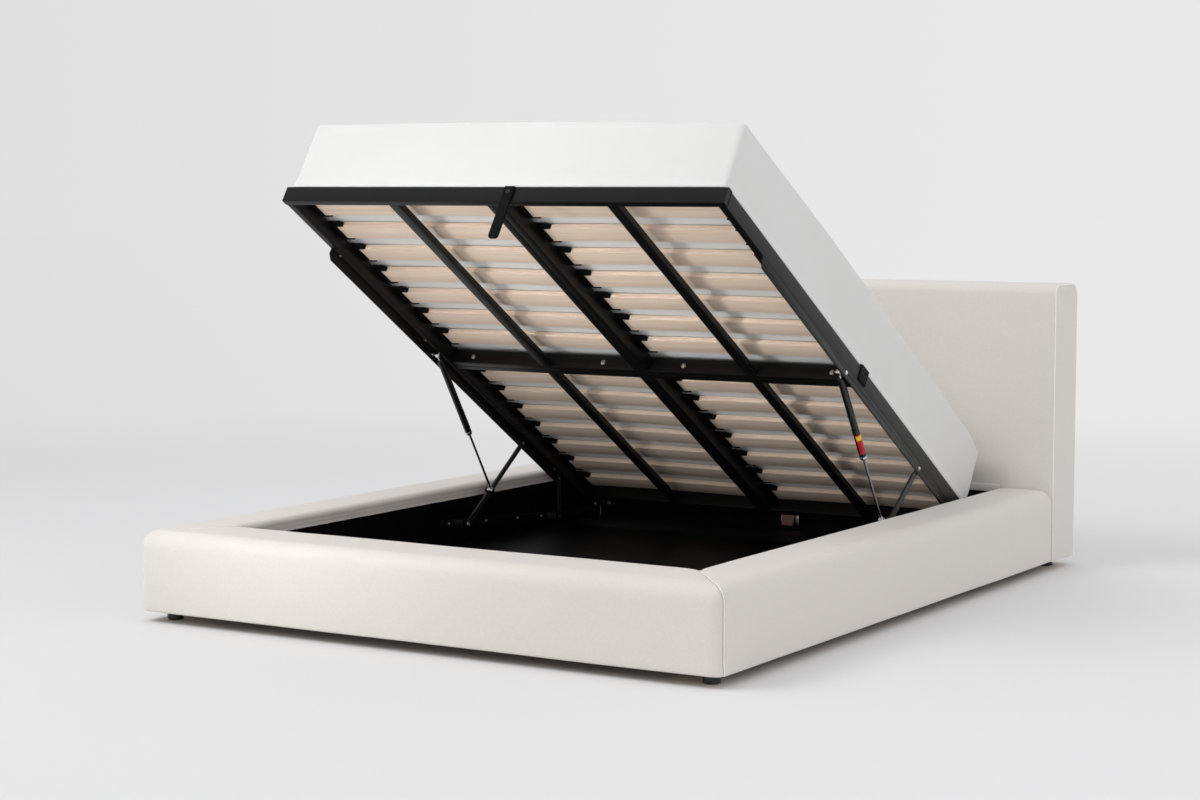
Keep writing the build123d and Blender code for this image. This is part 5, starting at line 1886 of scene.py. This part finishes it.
# ---------------------------------------------------------------- studio
@dataclass
class Studio:
    """The pale floor, the soft light and the camera."""

    camera_place: Point = (3.9688, -6.7262, 1.2869)
    camera_turn: float = 31.467
    camera_pitch: float = 4.957
    lens: float = 74.07
    backdrop: str = "#E9E9E9"
    # painted shade: the darker grey at the room's left
    shade: str = "#D8D8D8"
    right: Point = (0.853, 0.522, 0.0)
    air: str = "#FDFDFF"
    air_strength: float = 0.79
    floor_radius: float = 60
    floor_height: float = -0.0005
    fade: Pair = (2.2, 7.0)

    def tone(self, brush: Brush, place: Socket, near: float) -> Socket:
        """Paint shade into the room's pale grey: darker to its left, lighter to its right, standing in for
        the light falling off.

        Args:
            brush: The brush on the node tree.
            place: A place on the floor or a direction in the room.
            near: Distance within which the shading eases off.

        Returns:
            The colour.
        """
        across = brush.node("VectorMath", {0: place, 1: self.right}, "Value", operation="DOT_PRODUCT")
        far = brush.node("VectorMath", {0: place}, "Value", operation="LENGTH")
        share = brush.combine("DIVIDE", across, brush.combine("ADD", far, near))
        return brush.mix(brush.ramp(share, -0.55, 0.15), self.shade, self.backdrop)

    def floor(self) -> None:
        """Lay a wide floor that fades into the backdrop with distance."""
        Bench.clear()
        bpy.ops.mesh.primitive_circle_add(
            vertices=96, radius=self.floor_radius, fill_type="NGON", location=(0, 0, self.floor_height)
        )
        floor = Bench.settle("studio_floor")
        made = bpy.data.materials.new("studio_floor_paint")
        made.use_nodes = True
        brush = Brush(made.node_tree)
        place = brush.node("TexCoord", output="Object")
        # painted shade on the floor, darker towards its left
        colour = self.tone(brush, place, 2.6)
        brush.fill(SURFACE, {"Roughness": 0.75, "Specular IOR Level": 0.2, "Base Color": colour})
        glow = brush.node("Emission", {"Color": colour, "Strength": 1.0})
        far = brush.node("VectorMath", {0: place}, "Value", operation="LENGTH")
        near, end = self.fade
        inputs = {"Value": far, "From Min": near, "From Max": end}
        fade = brush.node("MapRange", inputs, interpolation_type="SMOOTHSTEP")
        paint = brush.tree.nodes[SURFACE].outputs[0]
        brush.fill("Material Output", {"Surface": brush.node("MixShader", {0: fade, 1: paint, 2: glow})})
        floor.data.materials.append(made)

    def world(self) -> None:
        """Light the room evenly, and show its backdrop to the camera and to transmission rays."""
        world = bpy.data.worlds.new("studio_air")
        bpy.context.scene.world = world
        world.use_nodes = True
        brush = Brush(world.node_tree)
        # the backdrop seen by the camera carries the same painted shade, darker to the left
        sky = self.tone(brush, brush.node("TexCoord", output="Generated"), 0.0)
        brush.fill("Background", {"Color": sky, "Strength": 1.0})
        light = brush.node("Background", {"Color": linear(self.air), "Strength": self.air_strength})
        camera_ray = brush.node("LightPath", output="Is Camera Ray")
        seen = brush.combine("MAXIMUM", camera_ray, camera_ray.node.outputs["Is Transmission Ray"])
        shown = brush.tree.nodes["Background"].outputs[0]
        brush.fill("World Output", {"Surface": brush.node("MixShader", {0: seen, 1: light, 2: shown})})

    def lamp(
        self, name: str, place: Point, target: Point, size: float, power: float, spread: float = 180
    ) -> None:
        """Hang one soft square lamp that faces a target, with its spread in degrees."""
        data = bpy.data.lights.new(name, "AREA")
        data.size = size
        data.energy = power
        data.spread = math.radians(spread)
        lamp = Bench.placed(name, data)
        lamp.location = place
        lamp.rotation_euler = (Vector(target) - Vector(place)).to_track_quat("-Z", "Y").to_euler()
        lamp.visible_glossy = False
        lamp.visible_camera = False

    def camera(self) -> None:
        """Set the camera at its place."""
        data = bpy.data.cameras.new("studio_camera")
        data.lens = self.lens
        data.clip_end = 200
        camera = Bench.placed("studio_camera", data)
        camera.location = self.camera_place
        camera.rotation_euler = (math.radians(90 - self.camera_pitch), 0, math.radians(self.camera_turn))
        bpy.context.scene.camera = camera

    def build(self) -> None:
        """Build the whole studio."""
        bpy.context.scene.view_settings.view_transform = "Standard"
        self.camera()
        self.floor()
        self.world()
        self.lamp("key_lamp", (-2.8, -3.6, 5.6), (0, -0.2, 0.4), 3.6, 168)
        self.lamp("low_lamp", (-3.2, -8.6, 0.8), (0, 0, 0.7), 1.6, 36)
        self.lamp("side_lamp", (7.0, -1.0, 2.5), (0.8, 0, 0.4), 4.0, 36)
        self.lamp("inside_lamp", (-0.30, -0.62, 0.12), (-0.05, 0.05, 1.0), 0.5, 1.6, 150)
        self.lamp("under_lamp", (-2.0, -3.9, 0.3), (0.1, -0.35, 0.80), 0.5, 1.6, 28)


def main() -> None:
    """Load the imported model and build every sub-assembly in order."""
    logging.basicConfig(level=logging.INFO, format="%(name)s: %(message)s")
    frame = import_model()
    Studio().build()
    for assembly in (RailCovers, Headboard, StorageSpace, PlatformFrame, SlatDeck, Mattress, LiftMechanism):
        LOG.info("building %s", assembly.__name__)
        assembly(frame).build()
    Bench.clear()


if __name__ == "__main__":
    main()
